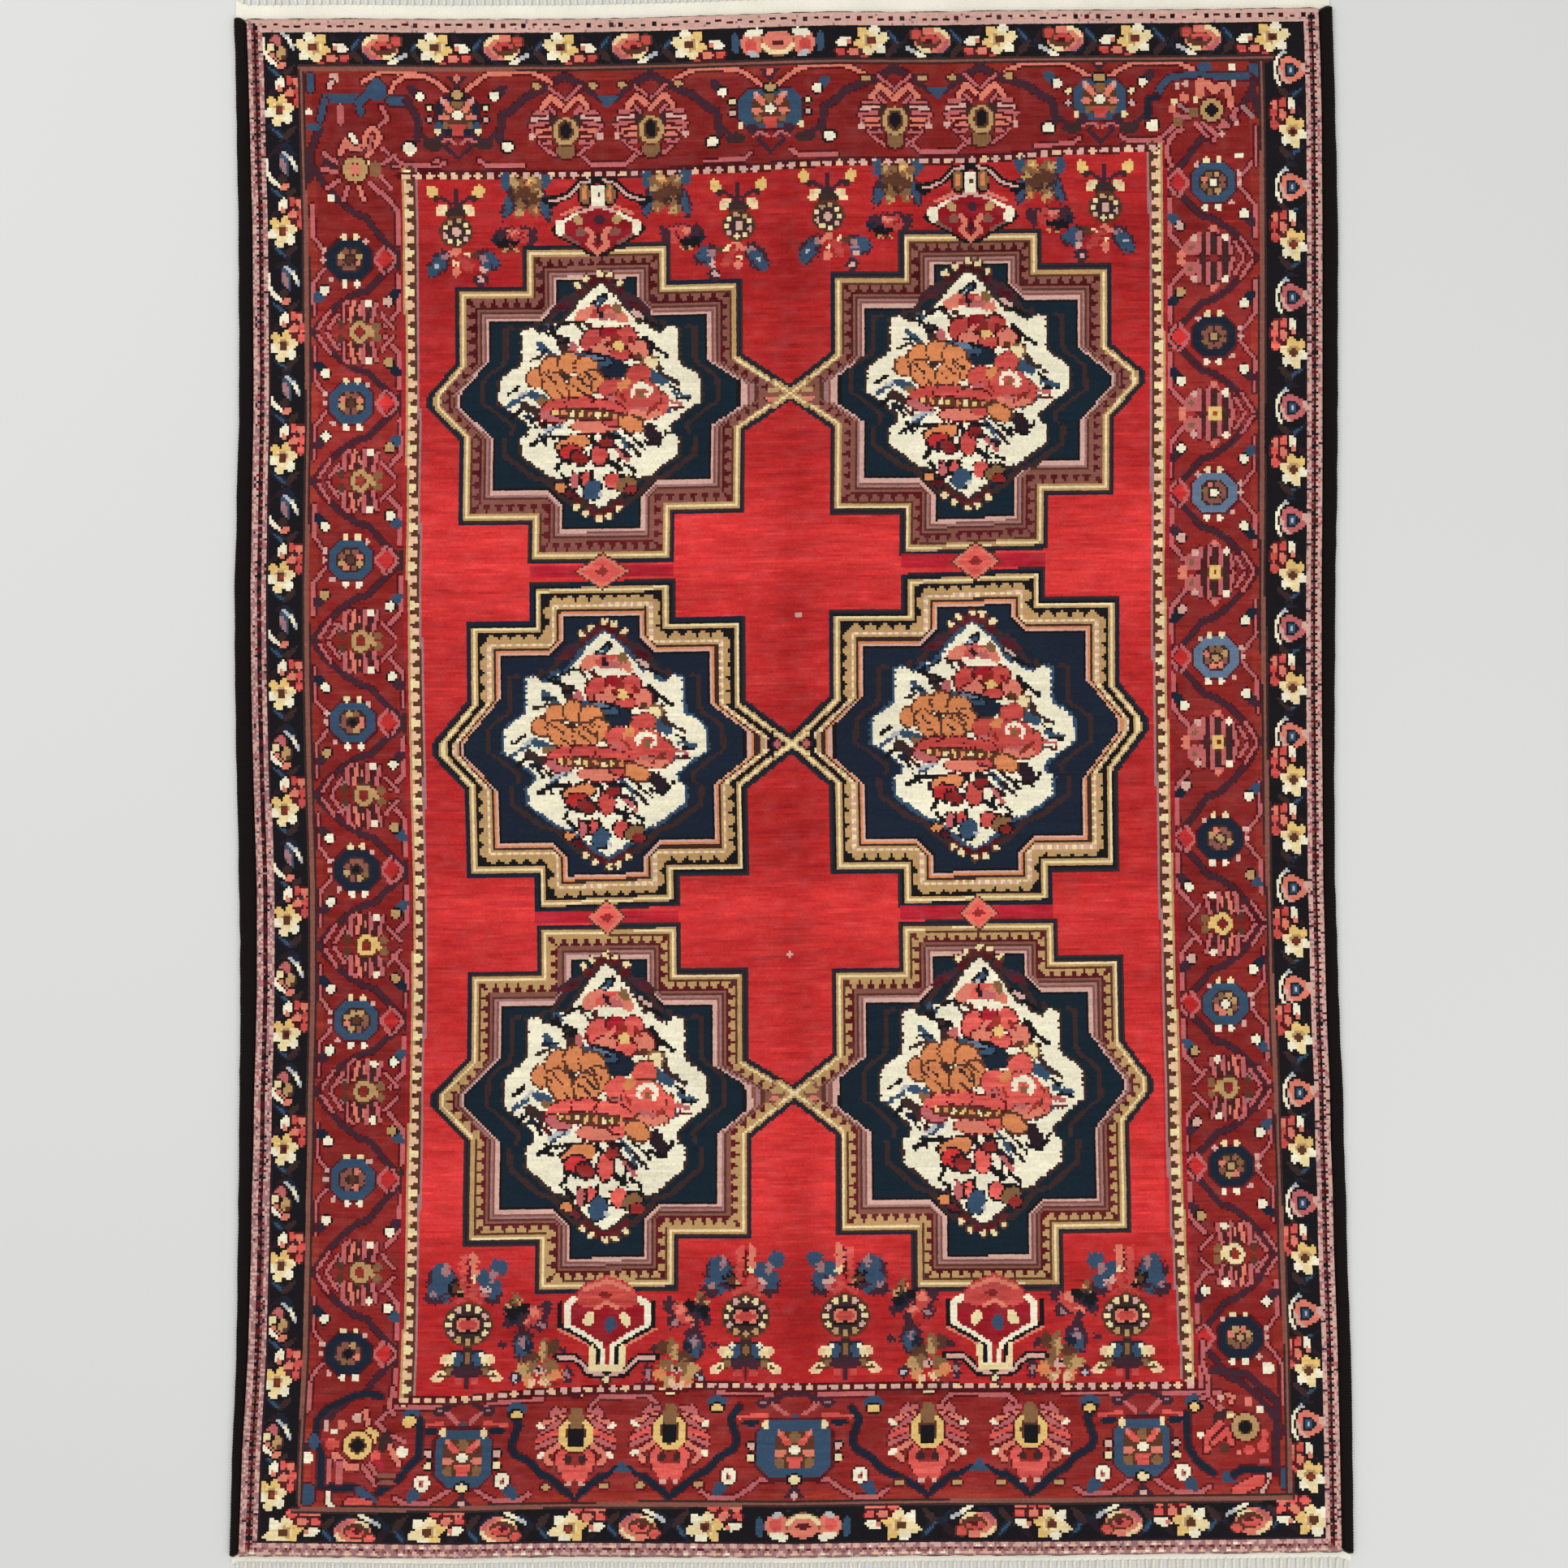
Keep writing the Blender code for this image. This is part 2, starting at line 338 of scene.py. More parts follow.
def border_spot(chart, side, along, inward, reach, mirrored=False):
    """A window on a border, with y towards the field."""
    run, inwards = SIDE_TURNS[side]
    if mirrored:
        run = (-run[0], -run[1])
    return Spot(chart, *place(side, along, inward), reach, run, inwards)


# ---- The outer border: flowers in turn on a dark ground, inside a narrow guard ----

# How far along each side the flowers' middles are, in knots
DAISIES = {
    "top": (29, 83, 139, 196, 277, 334, 394, 455),
    "bottom": (19, 81, 142, 201, 286, 351, 411, 464),
    "left": (40, 93, 143, 192, 244, 295, 346, 394, 444, 494, 545, 596, 645),
    "right": (54, 103, 150, 201, 247, 296, 336, 361, 406, 448, 497, 544, 593, 639),
}
RINGS = {
    "top": (60, 114, 171, 303, 362, 423),
    "bottom": (50, 113, 173, 318, 381, 437),
    "left": (14, 67, 117, 165, 217, 267, 320, 369, 419, 467, 517, 570, 621),
    "right": (27, 78, 126, 174, 223, 270, 317, 383, 427, 472, 520, 568, 616),
}
DAISY_PETALS = ("maize", "cream", "ivory", "cream", "ivory", "maize")
# Beside each daisy, a cluster of coral petals and a white bud
DAISY_CLUSTER = """
    coral 4.4x3.6/20 +garnet .6: 3.4 8; salmon 4.4x3.6/20 +garnet .6: 7.6 4.6;
    coral 4.4x3.6/20 +garnet .6: 8.4 8.6; salmon 4.2x3.4/-15 +garnet .6: 12.4 7.8;
    coral 4.2x3.4/-15 +garnet .6: 12.8 4.4; bark 2.2x1.8: 9.8 6.4;
    ivory leaf 7.6x3.6/14 +soot: 11.4 .4; salmon 2.4x2.2: 9.4 .2
"""
# A salmon flower like a curled ring, with a white arc and a slanting bar
RING_FLOWER = """
    soot 18.5x13.5: 0 .2; navy ring 18.5x13.5 1.4 100 120: .4 .6; salmon 15x10.8: -1 0;
    cream ring 13.5x11 1.8 185 80: -1.5 .2; rose ring 13.4x9.6 2 110 80: -1 .8;
    coral 4.6x3.8 +umber .6: 5.6 -2.4; umber 10x6.4: .6 .6; coral 7.4x3.8: 0 -.2;
    garnet 4.2x2: .8 .6; cream ring 10.6x7.4 1.5 10 90: .8 1.4; soot 3: 1.4 7.4, 9.8 2.8;
    ivory 1.7: 1.8 7.2, 9.4 3.1; fog 1.7: 6.8 4.5, 9.4 3.1
"""
# The left border's curl: two white crescents round a small rose or a dark petal
ROSE_CURL = """
    soot 17x15; rose 5.6x4.8 +bark .6: 4 -1; cream 5.6x4.8 +bark .6: .5 -3;
    salmon 5.6x4.8 +bark .6: -3.5 -2; camel 5.6x4.8 +bark .6: -1 1.5; soot 2.4x2.2: .6 -.8;
    umber 2.2x2: -3 2.4
"""
PETAL_CURL = """
    soot 17x15; slate leaf 11x4.6/-14: 3.4 1.4; mauve leaf 8x2.4/-14: 3 1; bark 4.6x3.4: -3 .5
"""
CRESCENTS = """
    soot 3.4: 5.4 -6.6, .4 -6.6, -3.6 -4.6, -6.2 -.8;
    ivory 1.9: 5.4 -6.4, .4 -6.4, -3.6 -4.4, -5.8 -1.2; salmon 2.6x4.2/-15: -6.4 1.2;
    fog 1.8: 8.6 1, 5.6 4.6, 1.2 6.8; ivory 1.6: 5.6 4.6, 3 6
"""
# The right border's pink ring is drawn out to a point, with a white arc on its inner side
DRAWN_RING = (
    (-6.4, 0.8), (-4.4, 4.4), (0, 5.6), (4.4, 4.4), (6.4, 0.8), (3.6, -4.0), (0, -7.6), (-3.6, -4.0),
)
DRAWN_RING_HEART = """
    blush 4.4x2.6/30: 1 -5.6; blush 1.5: -5.6 1.6, -2.8 4.6, 0 5.4; slate 4x3.4: 0 .6;
    fog 2x1.8: .4 .4; ivory ring 18.6x16 1.6 35 110: 0 .4; fog ring 18.6x16 1.6 15 22: 0 .4
"""
# The wide salmon flower at the middle of each end's outer border
DOUBLE_RING = """
    salmon 9.4x10.2: 10.4 .4; coral 5x5.6: 11 1; ivory 8.2x3.4/12: 9.8 -3.8;
    fog 5x2.6/-20: 10.6 4.6; slate leaf 9.6x3.6/90: 17.4 0
"""
DOUBLE_RING_HEART = """
    bronze 14.4x10.2: 0 .6; salmon 12.8x8.6: 0 -.4; cream ring 13.4x9 1.8 0 180: 0 .8;
    garnet 5.6x2.4: 0 .2
"""


def daisy(spot, heart, pointed):
    spot.paint("soot 15.5x13.5; garnet 13x8.5: 8.5 6.5")
    petal = ("leaf", 7.4, 4.4) if pointed else ("oval", 5.2, 4.2)
    for step, yarn in enumerate(DAISY_PETALS):
        turn = 60 * step + 15
        x, y = 4.6 * math.cos(math.radians(turn)), 4.2 * math.sin(math.radians(turn))
        spot.stamp(petal[0], x, y, *petal[1:], yarn, turn)
    spot.paint(f"cream 7x6.4; camel ring 6.4x5.8 1.1 300 150; umber 4.2x3.6; {heart} 2.4x2.2")
    spot.paint(DAISY_CLUSTER)


def drawn_ring(spot, pale):
    spot.paint("soot 18x15.5")
    for grow, yarn in ((1.0, pale), (0.56, "night")):
        spot.shape([(x * grow, y * grow + 0.4) for x, y in DRAWN_RING], yarn)
    spot.paint(DRAWN_RING_HEART)


def crossed_leaves(spot, run):
    """The dim brown and blue leaves that fill the dark ground between two flowers."""
    spot.paint(
        f"""aubergine leaf {run}x3.2/52: -3.6 -1; navy leaf {run}x3.4/-52: 3.6 -1;
        navy leaf {run * 0.8}x2.8/-48: -3.4 3.4; bark leaf {run * 0.8}x3/48: 3.2 3.4;
        slate leaf {run * 0.6}x1.4/-52: 3.4 -1.4"""
    )


def flower_spot(chart, side, along, reach=17):
    """A window on the outer border, with y away from the rug's edge."""
    inwards = SIDE_TURNS[side][1]
    if side in ("left", "right"):
        return Spot(chart, 13.6 if side == "left" else 463.0, along, reach, (0, -1), inwards)
    row = 12.6 if side == "top" else across(PARTING["bottom"], along) + 10.1
    return Spot(chart, along, row, reach, (1 if along < KNOT_COLUMNS / 2 else -1, 0), inwards, 1.08)


def outer_border(chart, draw):
    for side in ("top", "bottom", "left", "right"):
        marks = sorted(DAISIES[side] + RINGS[side])
        for low, high in zip(marks, marks[1:]):
            crossed_leaves(flower_spot(chart, side, (low + high) / 2, 12), draw.choice((11, 12, 13)))
        for along in RINGS[side]:
            spot = flower_spot(chart, side, along)
            if side == "left":
                spot.paint(ROSE_CURL if along % 2 == 0 or along > 400 else PETAL_CURL)
                spot.paint(CRESCENTS)
            elif side == "right":
                drawn_ring(spot, draw.choice(("salmon", "rose", "salmon")))
            else:
                spot.paint(RING_FLOWER)
        for along in DAISIES[side]:
            heart = draw.choice(("garnet", "umber", "umber", "brick"))
            daisy(flower_spot(chart, side, along), heart, side == "bottom")
    for side, along in (("top", 235.5), ("bottom", 243.5)):
        spot = flower_spot(chart, side, along, 22)
        spot.paint("soot 31x14")
        spot.paint(DOUBLE_RING, BOTH)
        spot.paint(DOUBLE_RING_HEART)


# How wide the outermost band is, in knots; the left one widens down the rug
GUARD_WIDTH = {"left": ((0, 250, 672), (7.2, 7.8, 9.0)), "right": 7.4, "top": 6.0, "bottom": 6.6}
MARK_PITCH = {"sides": 2.92, "top": 4.8, "bottom": 5.85}


def guard(chart, draw):
    """The narrow outermost band: two dusty pink rails with dark marks or pale beads between."""
    rows, cols = np.mgrid[0:KNOT_ROWS, 0:KNOT_COLUMNS] + 0.5
    left_width = np.interp(rows, *GUARD_WIDTH["left"])
    left, right = cols / left_width, (KNOT_COLUMNS - cols) / GUARD_WIDTH["right"]
    top, bottom = rows / GUARD_WIDTH["top"], (KNOT_ROWS - rows) / GUARD_WIDTH["bottom"]
    deep = np.minimum.reduce((left, right, top, bottom))
    pale = np.select((deep == top, deep == bottom, deep == left), (0.97, 0.2, 0.45), 0.7)
    middle = np.select((deep == top, deep == bottom), (0.0, 0.5), 0.7)
    speck = np.random.default_rng(draw.randrange(10**6)).random(chart.shape)
    for low, high, share, yarn in (
        (0.0, 1.0, 1.0, "aubergine"),
        (0.04, 0.93, 1.0, "mauve"),
        (0.04, 0.93, pale, "blush"),
        (0.34, 0.64, middle, "clay"),
        (0.40, 0.58, middle * 0.7, "garnet"),
    ):
        chart[(deep > low) & (deep <= high) & (speck < share)] = YARN_NUMBER[yarn]
    for count, row in enumerate(np.arange(4, KNOT_ROWS - 4, MARK_PITCH["sides"])):
        left_col = 0.5 * left_width[int(row), 0]
        for col in (left_col, KNOT_COLUMNS - 0.48 * GUARD_WIDTH["right"]):
            spot = Spot(chart, col, row, 5)
            spot.paint(f"{'garnet' if count % 2 else 'soot'} diamond 3x3.6")
            x = draw.choice((-2.4, 2.4))
            spot.stamp("oval", x, 1.4, 1.4, 1.4, draw.choice(("rose", "plum", "blush", "blush")))
    for count, col in enumerate(np.arange(8, KNOT_COLUMNS - 6, MARK_PITCH["top"])):
        spot = Spot(chart, col, 0.5 * GUARD_WIDTH["top"] + draw.choice((-0.4, 0, 0.4)), 5)
        spot.paint(("soot", "garnet", "bark")[count % 3] + " 2.6x1.4")
    for count, col in enumerate(np.arange(6, KNOT_COLUMNS - 5, MARK_PITCH["bottom"] / 2)):
        spot = Spot(chart, col, KNOT_ROWS - (1.6, 4.9)[count % 2], 5)
        spot.paint("blush 3.4x2; " + draw.choice(("blush", "peach", "ivory")) + " 1.8x1.2")


def partings(chart):
    """The thin brown line round the main border."""
    for side in PARTING:
        first, last = ("top", "bottom") if side in ("left", "right") else ("left", "right")
        marks = np.linspace(PARTING[first][0][1], PARTING[last][-1][1], 24)
        path = [(along, 0.0) for along in marks]
        trace(chart, side, path, 3.2, "bark")
        trace(chart, side, path, 1.6, "clay")


# ---- The main border: rosettes and palmettes, with a vine that winds between them ----

# Rosettes and palmettes in turn, from the top, in knots down each side
SIDE_ROSETTES = {
    "left": (105.4, 168.1, 236.5, 307.4, 371.8, 437.7, 507.0, 583.0),
    "right": (75.6, 142.7, 210.5, 282.2, 360.9, 432.9, 503.5, 578.0),
}
SIDE_PALMETTES = {
    "left": (137.0, 202.0, 271.9, 339.2, 404.8, 468.6, 547.6),
    "right": (108.4, 176.2, 245.1, 319.2, 398.0, 469.3, 541.7),
}
SIDE_BLUES = {
    "left": ("navy", "slate", "slate", "slate", "navy", "slate", "slate", "navy"),
    "right": ("slate", "navy", "sky", "sky", "navy", "slate", "navy", "navy"),
}
SIDE_DEPTHS = {"left": (0.42, 0.51), "right": (0.465, 0.47)}
# (how far along, its width, how far from it the white flowers are)
END_ROSETTES = {
    "top": ((92.5, 19.5, 16.5), (231.3, 28, 21), (377.6, 22.5, 19)),
    "bottom": ((95.6, 24, 17.3), (239.5, 32, 28.5), (390.3, 24, 17.3)),
}
END_PALMETTES = {
    "top": ((140.3, 178.2), (286.5, 324.8)),
    "bottom": ((144.5, 185.3), (297.3, 341.6)),
}

# The vine's way from a rosette to a palmette: (share of the way, how deep in the border)
SIDE_WAY = (
    (0, 0.89), (0.1, 0.83), (0.28, 0.69), (0.43, 0.59), (0.47, 0.48), (0.6, 0.33), (0.8, 0.17), (1, 0.06),
)
# The same at the ends: (knots out from the rosette's side, how deep), then from the palmette
END_WAY = {
    "top": (((0, 0.66), (1.5, 0.44), (6.5, 0.38), (11.5, 0.28)), ((9, 0.18), (0, 0.07), (-10, 0.19))),
    "bottom": (
        ((0, 0.82), (3.5, 0.72), (2, 0.64), (0.5, 0.54), (2, 0.465), (9, 0.385), (13, 0.29), (18, 0.24)),
        ((5, 0.135), (0, 0.07), (-11, 0.24)),
    ),
}
# The pink line over an end's motifs and the one at their feet: (knots from the rosette, how deep)
PINK_ARC = {
    "top": ((4, 0.2), (11, 0.09), (15, 0.045), (33, 0.035), (38, 0.08), (42, 0.13)),
    "bottom": ((4, 0.2), (10, 0.11), (15, 0.055), (25, 0.055), (29, 0.11)),
}
PINK_FOOT = {
    "top": ((9, 0.85), (12, 0.905), (29, 0.91)),
    "bottom": ((8, 0.88), (10, 0.935), (34, 0.935)),
}
# The foot line under a pair of palmettes: (knots in from their middles, how deep)
PINK_STEP = {"top": ((5.2, 0.79), (11.5, 0.91)), "bottom": ((6, 0.86), (10, 0.93))}


def side_vine(chart, side):
    """Inside each rosette and outside each palmette."""
    rosettes, palmettes = SIDE_ROSETTES[side], SIDE_PALMETTES[side]
    ends = (rosettes[0] - 43, *palmettes, rosettes[-1] + 41)
    if rosettes[0] > palmettes[0]:
        ends = ends[1:]
    for rosette in rosettes:
        for palmette in [row for row in ends if abs(row - rosette) < 50]:
            path = [(rosette + share * (palmette - rosette), deep) for share, deep in SIDE_WAY]
            trace(chart, side, path, 3.3, "garnet")
            trace(chart, side, path, 2.3, "plum")
        trace(chart, side, [(rosette - 3.5, 0.9), (rosette + 3.5, 0.9)], 2.6, "bark")


def end_vine(chart, side, yarn):
    """Beside each rosette, then over the pair of palmettes between two of them."""
    pairs = END_PALMETTES[side]
    beside, over = END_WAY[side]
    for col, wide, _ in END_ROSETTES[side]:
        for palmette in [mark for pair in pairs for mark in pair if abs(mark - col) < 60]:
            turn = 1 if palmette > col else -1
            path = [(col + turn * (wide / 2 + 8.5 + out), deep) for out, deep in beside]
            path += [(palmette - turn * out, deep) for out, deep in over]
            trace(chart, side, path, 4.0, "garnet")
            trace(chart, side, path, 2.9, yarn)
    for low, high in pairs:
        middle, deep = (low + high) / 2, 0.31
        path = [(low + 10, 0.2), (middle - 3, deep), (middle + 3, deep), (high - 10, 0.2)]
        trace(chart, side, path, 2.4, yarn)
        border_spot(chart, side, middle, deep, 8).paint("slate shape: -4.6 -2, 4.6 -2, 0 3.6")


def haloed(chart, side, points, width, yarn="rose"):
    """A line along a border, set off from the ground by a dark edge."""
    trace(chart, side, points, width + 1.5, "garnet")
    trace(chart, side, points, width, yarn)


def pink_lines(chart, side):
    """The thin pink lines along both edges, broken and slanted at each motif."""
    if side in ("left", "right"):
        for row in SIDE_ROSETTES[side]:
            for turn in BOTH:
                outer = ((1.5, 0.22), (10, 0.07), (24, 0.07))
                haloed(chart, side, [(row + turn * run, deep) for run, deep in outer], 1.5)
                inner = ((7, 0.89), (22, 0.89), (29, 0.76))
                haloed(chart, side, [(row + turn * run, deep) for run, deep in inner], 1.9)
        return
    for col, _, flower in END_ROSETTES[side]:
        for turn in BOTH:
            shift = flower - 17.3 if side == "bottom" else 0
            arc = [(col + turn * (run + shift), deep) for run, deep in PINK_ARC[side]]
            yarn = "salmon" if side == "top" else "rose"
            haloed(chart, side, [(col + turn * 3.5, 0.22)] + arc, 1.9, yarn)
            haloed(chart, side, [(col + turn * run, deep) for run, deep in PINK_FOOT[side]], 1.7)
    for low, high in END_PALMETTES[side]:
        foot = [(low + run, deep) for run, deep in PINK_STEP[side]]
        foot += [(high - run, deep) for run, deep in PINK_STEP[side][::-1]]
        haloed(chart, side, foot, 1.7)


TOP_ROSETTE = """
    salmon 2.8: 3.2 -2.6, 6 -6.2; blush 1.6: 5.8 -6, 6.6 -7.2; salmon 4.6x3: 6 .6;
    bronze 3.4x3: 5.4 4.2; plum 5x5: 8 8.6; slate 3.4x3.4: 8.4 4.6
"""
BOTTOM_ROSETTE = """
    coral 2.8: 2.8 3, 6.2 6.6; salmon 1.6: 6 6.2, 7 7.6; salmon 5x3.6: 6.2 -1.5;
    bronze 4.2x4.8: 6.2 -5.8
"""
# The arch on the field side of a bottom rosette that is 26 knots wide
FIELD_ARCH = """
    plum 2.4: 0 24.6, 4.6 23.6, 8 21.6, 11 20.4; plum 6x4.4: 11.4 20.2; mauve 2.2x1.8: 11.4 20.4;
    navy 8x2.8: 15.6 11.6; coral 1.8: 10 14.8, 20 14.2; rose 1.9: 8 19.6, 3.2 15.4
"""


def end_rosette(spot, side, wide, blue):
    """An end border's rosette: a blue plate with a small flower, its beads and its cap."""
    half, beads, inner = wide / 2, wide / 2 + 2.8, min(wide - 7, 17.5)
    if side == "top":
        spot.paint(
            f"""both bark 9x5: {half + 1.5} 12.4; both plum 2.2: {half + 7.5} 7.5, {half + 3} 11.5;
            plum diamond 14x13: 0 13.4; madder diamond 9x8.4: 0 13.2;
            both rose 1.4: 1.2 12, 5.6 8.8; both rose 1.3: 3.4 9.4, 8 11.4;
            garnet plate {wide + 2.4}x19.9 6; {blue} plate {wide}x17.5 4.4; umber plate {inner}x12 3"""
        )
        spot.paint(TOP_ROSETTE, BOTH)
        spot.paint(
            f"""bronze 4.4x5.4: 0 -5.4; coral shape: -3.4 3.4, 3.4 3.4, 2.4 8.2, -2.4 8.2;
            ivory 4.6x4.2 +umber .8; both soot 4.2x3.8: {beads} -3.6, {beads} 1.6;
            both cream 2.8x2.4: {beads} -3.6; both blush 2.8x2.4: {beads} 1.6;
            both cream 2.8x3.2: {half - 0.6} 6.8; camel 5.6x3.4 +soot: 0 -9.35;
            plum shape: 0 -11.35, 5 -17.75, -5 -17.75; salmon 3.2x3.2: 0 -16.35"""
        )
        return
    spot.paint(FIELD_ARCH, BOTH, stretch=wide / 26)
    spot.paint(
        f"""madder diamond 9.5x8: 0 19; {blue} shape: 0 15.6, 5 11.8, -5 11.8;
        garnet plate {wide + 2.4}x27.4 6; {blue} plate {wide}x25 5; umber plate {inner}x16.5 3"""
    )
    spot.paint(BOTTOM_ROSETTE, BOTH)
    spot.paint(
        f"""bronze 4.4x5.4: 0 5.4; coral shape: -3.4 -3.4, 3.4 -3.4, 2.4 -8.2, -2.4 -8.2;
        ivory 4.6x4.2 +umber .8; both soot 4.8x4.6: {beads} -3.6, {beads} 1.6;
        both cream 3.4x3.2: {beads} -3.6; both blush 3.4x3.2: {beads} 1.6;
        both cream 2.8x4.4: {half - 3.2} 10.7; cream 5.6x3.4 +soot: 0 -13.1;
        plum shape: 0 -15.1, 5 -21.5, -5 -21.5; blush 3.2x3.2: 0 -20.1"""
    )


def side_rosette(spot, blue, draw, heart):
    """A side border's rosette: a blue ring round a small mottled flower."""
    spot.paint(
        f"""field diamond 9x8: -.5 15.4; both rose 1.6: .6 11.4, 5.6 15.4; both rose 1.5: .6 20.4, 4.6 17.4;
        garnet plate 19.8x21.6 6; {blue} plate 17.6x19.4 5; bark plate 10.8x12.2 3"""
    )
    for step in range(8):
        angle = math.radians(45 * step + 20)
        petal = draw.choice(("clay", "bronze", "salmon", "clay", "camel"))
        spot.stamp("oval", 3.8 * math.cos(angle), 4.3 * math.sin(angle), 3.0, 3.0, petal)
    spot.paint(
        f"""{heart} 3.4x3.4; cream 3x2.8: -10 -2.5, -10 3; ivory 3.2x3: 10.6 -2.2, 10.6 3.6;
        blush 2.4x2.4: -8 7.2, -4 -11.4, 0 -11.8, 8.6 -8"""
    )


# The end borders' palmettes: a fan of striped petals round a ring, with its foot inside
END_FAN = {
    "top": """
    bark 12x11/30: 8 -2; rose 1.5: 7 -8, 14 -7.4; blush 1.4: 7.5 -5.6, 15 -4.6;
    rose 1.6: 8 -3.2, 16 -2, 12.5 2.5; salmon 1.7: 7 -.4, 12.6 .2; salmon 1.6: 7 2.6, 11.4 2.8;
    rose 1.5: 12 5, 9 8, 5 11; rose 1.5: 6.5 5.2, 9.6 5.8; rose 1.5: 4.6 -7.6, 8.6 -11.6;
    salmon 2.4: 10 -10, 6.5 -14.5, 4 -13, 0 -9; rose 1.4: 7 -19, 0 -13; blush 2.9x2.8: 15.2 2.8
""",
    "bottom": """
    salmon 2.3: 6 8, 14 5; rose 2.1: 5 10.5, 11 8.5, 9 11; rose 2.4: 7.6 5.4, 15 -.4;
    coral 2.6: 8.6 1, 16 -2.4; rose 2: 8.6 -2, 16.4 -5.4; salmon 2.4: 7.4 -5, 14 -9, 11 -12.6;
    coral 3.2: 4.5 -7, 7 -10, 6 -15; bark 3x4: 3 -11; ivory 4x2.5/35: 15.5 3.6;
    ivory 4x2.5/-35: 15.2 -9; coral 7x7.6/20: 2.4 -17; blush 2.8x2.4: 2.8 -21.6
""",
}
END_FAN_HEART = {
    "top": """
    bronze 8x7.6 +garnet: 0 8.8; umber 12.4x13.4: 0 .6; camel ring 11.2x12.2 2.1: 0 .6;
    soot 4.6x7.2 +umber: 0 .2
""",
    "bottom": """
    madder diamond 3.6x7: 0 -23.6; garnet 16x17.4: 0 .4; maize plate 14.2x15.8 4.2;
    umber 8.4x12: 0 .6; bronze shape: -2.6 3, 2.6 3, 3.4 8, 1.8 12, -1.8 12, -3.4 8;
    soot block 6x8: 0 -1.2; cream 6.4x3.6 +garnet: 0 18.2
""",
}
# The side borders' palmettes: small mottled petals, for a gold ring or for a gold block
RINGED_PALMETTE = """
    rose 1.8: 4.6 -7, 12 -7, 13.5 -4.6; salmon 1.9: 5.4 -4.2, 13 -2.6; bark 2: 6 -1.4, 12 0;
    salmon 4.6x2.8: 9.4 .4; rose 1.9: 6 2, 13.4 1.6; bark 2.2: 5.6 3.8, 10.4 6;
    rose 1.8: 5 5.6, 12.6 7.4; ivory 3.4x3.4: 12.4 4.3; mauve 5x3.4/-40: 5.6 -10;
    umber 4.4x3.2: 2.8 -8.4; rose 1.6: .6 -14.4, 7.6 -9.6; rose 1.5: 1.6 -18.4, 9 -13.4;
    bronze 4x4: 2.4 7.6; rose 1.5: 2 15, 8 9.6
"""
BARRED_PALMETTE = """
    rose 2: 0 -8.6, 8.4 -6.4; rose 8x5.4: 10 0; bark 2.5: 3 0, 9.4 0; salmon 3x3: 13 0;
    bark 2.5: 0 -5, 6.4 -5; rose 1.8: 2 -2.6, 9 -2.8; bark 2.5: 1 4.6, 8.4 4.6; rose 1.8: 2 2.6, 11 2.4;
    rose 2.2: 2 7, 10 6.4; rose 7x6.6: 4.6 10.2; bronze 2.6x2.4: 4.6 10; salmon 3.4x4: 1.5 14;
    ivory 3.3x3.3: 9.2 -5.4; blush 3.2x3.2: 8.8 8.6; rose 1.5: .6 -13.4, 6.6 -9.6;
    rose 1.5: 1 -17.4, 8.6 -12.4
"""


def side_palmette(spot, gold, heart, barred, plain):
    spot.paint(BARRED_PALMETTE if barred else RINGED_PALMETTE, BOTH, halo="garnet")
    if barred and not plain:
        spot.paint(f"umber 7.4x6.8: 0 -.4; {gold} block 6x5.4: 0 -.4; {heart} 2.4x2: 0 -.4")
    elif not plain:
        spot.paint(
            f"""umber 10.6x10.2; {gold} ring 9.4x8.8 2.1; {heart} 5x3.6: 0 -.2;
            {gold} 2.2: -2.4 4, 1 5.6"""
        )


WHITE_FLOWER = """
    slate leaf 9.5x5.6/-50: 3.4 -5; garnet 8.2x8.4; ivory 6.6x7.2; rose 2.2x2.6: .2 -.4;
    garnet 1.2x1.2: .6 -.6
"""
BUD_PAIRS = (("ivory", "camel"), ("ivory", "ivory"), ("camel", "ivory"), ("blush", "ivory"))


def bud(chart, draw, side, along, deep, outwards, forward, yarn):
    """A small pale bud with a dark leaf behind it."""
    spot = border_spot(chart, side, along, deep, 10, mirrored=forward)
    if outwards:
        spot.y = -spot.y
    leaf = draw.choice(("slate", "plum", "navy"))
    spot.paint(f"{leaf} leaf 7.4x4.6/48: 3 2.6; soot 5.4x5.1; {yarn} 4.2x4.1")


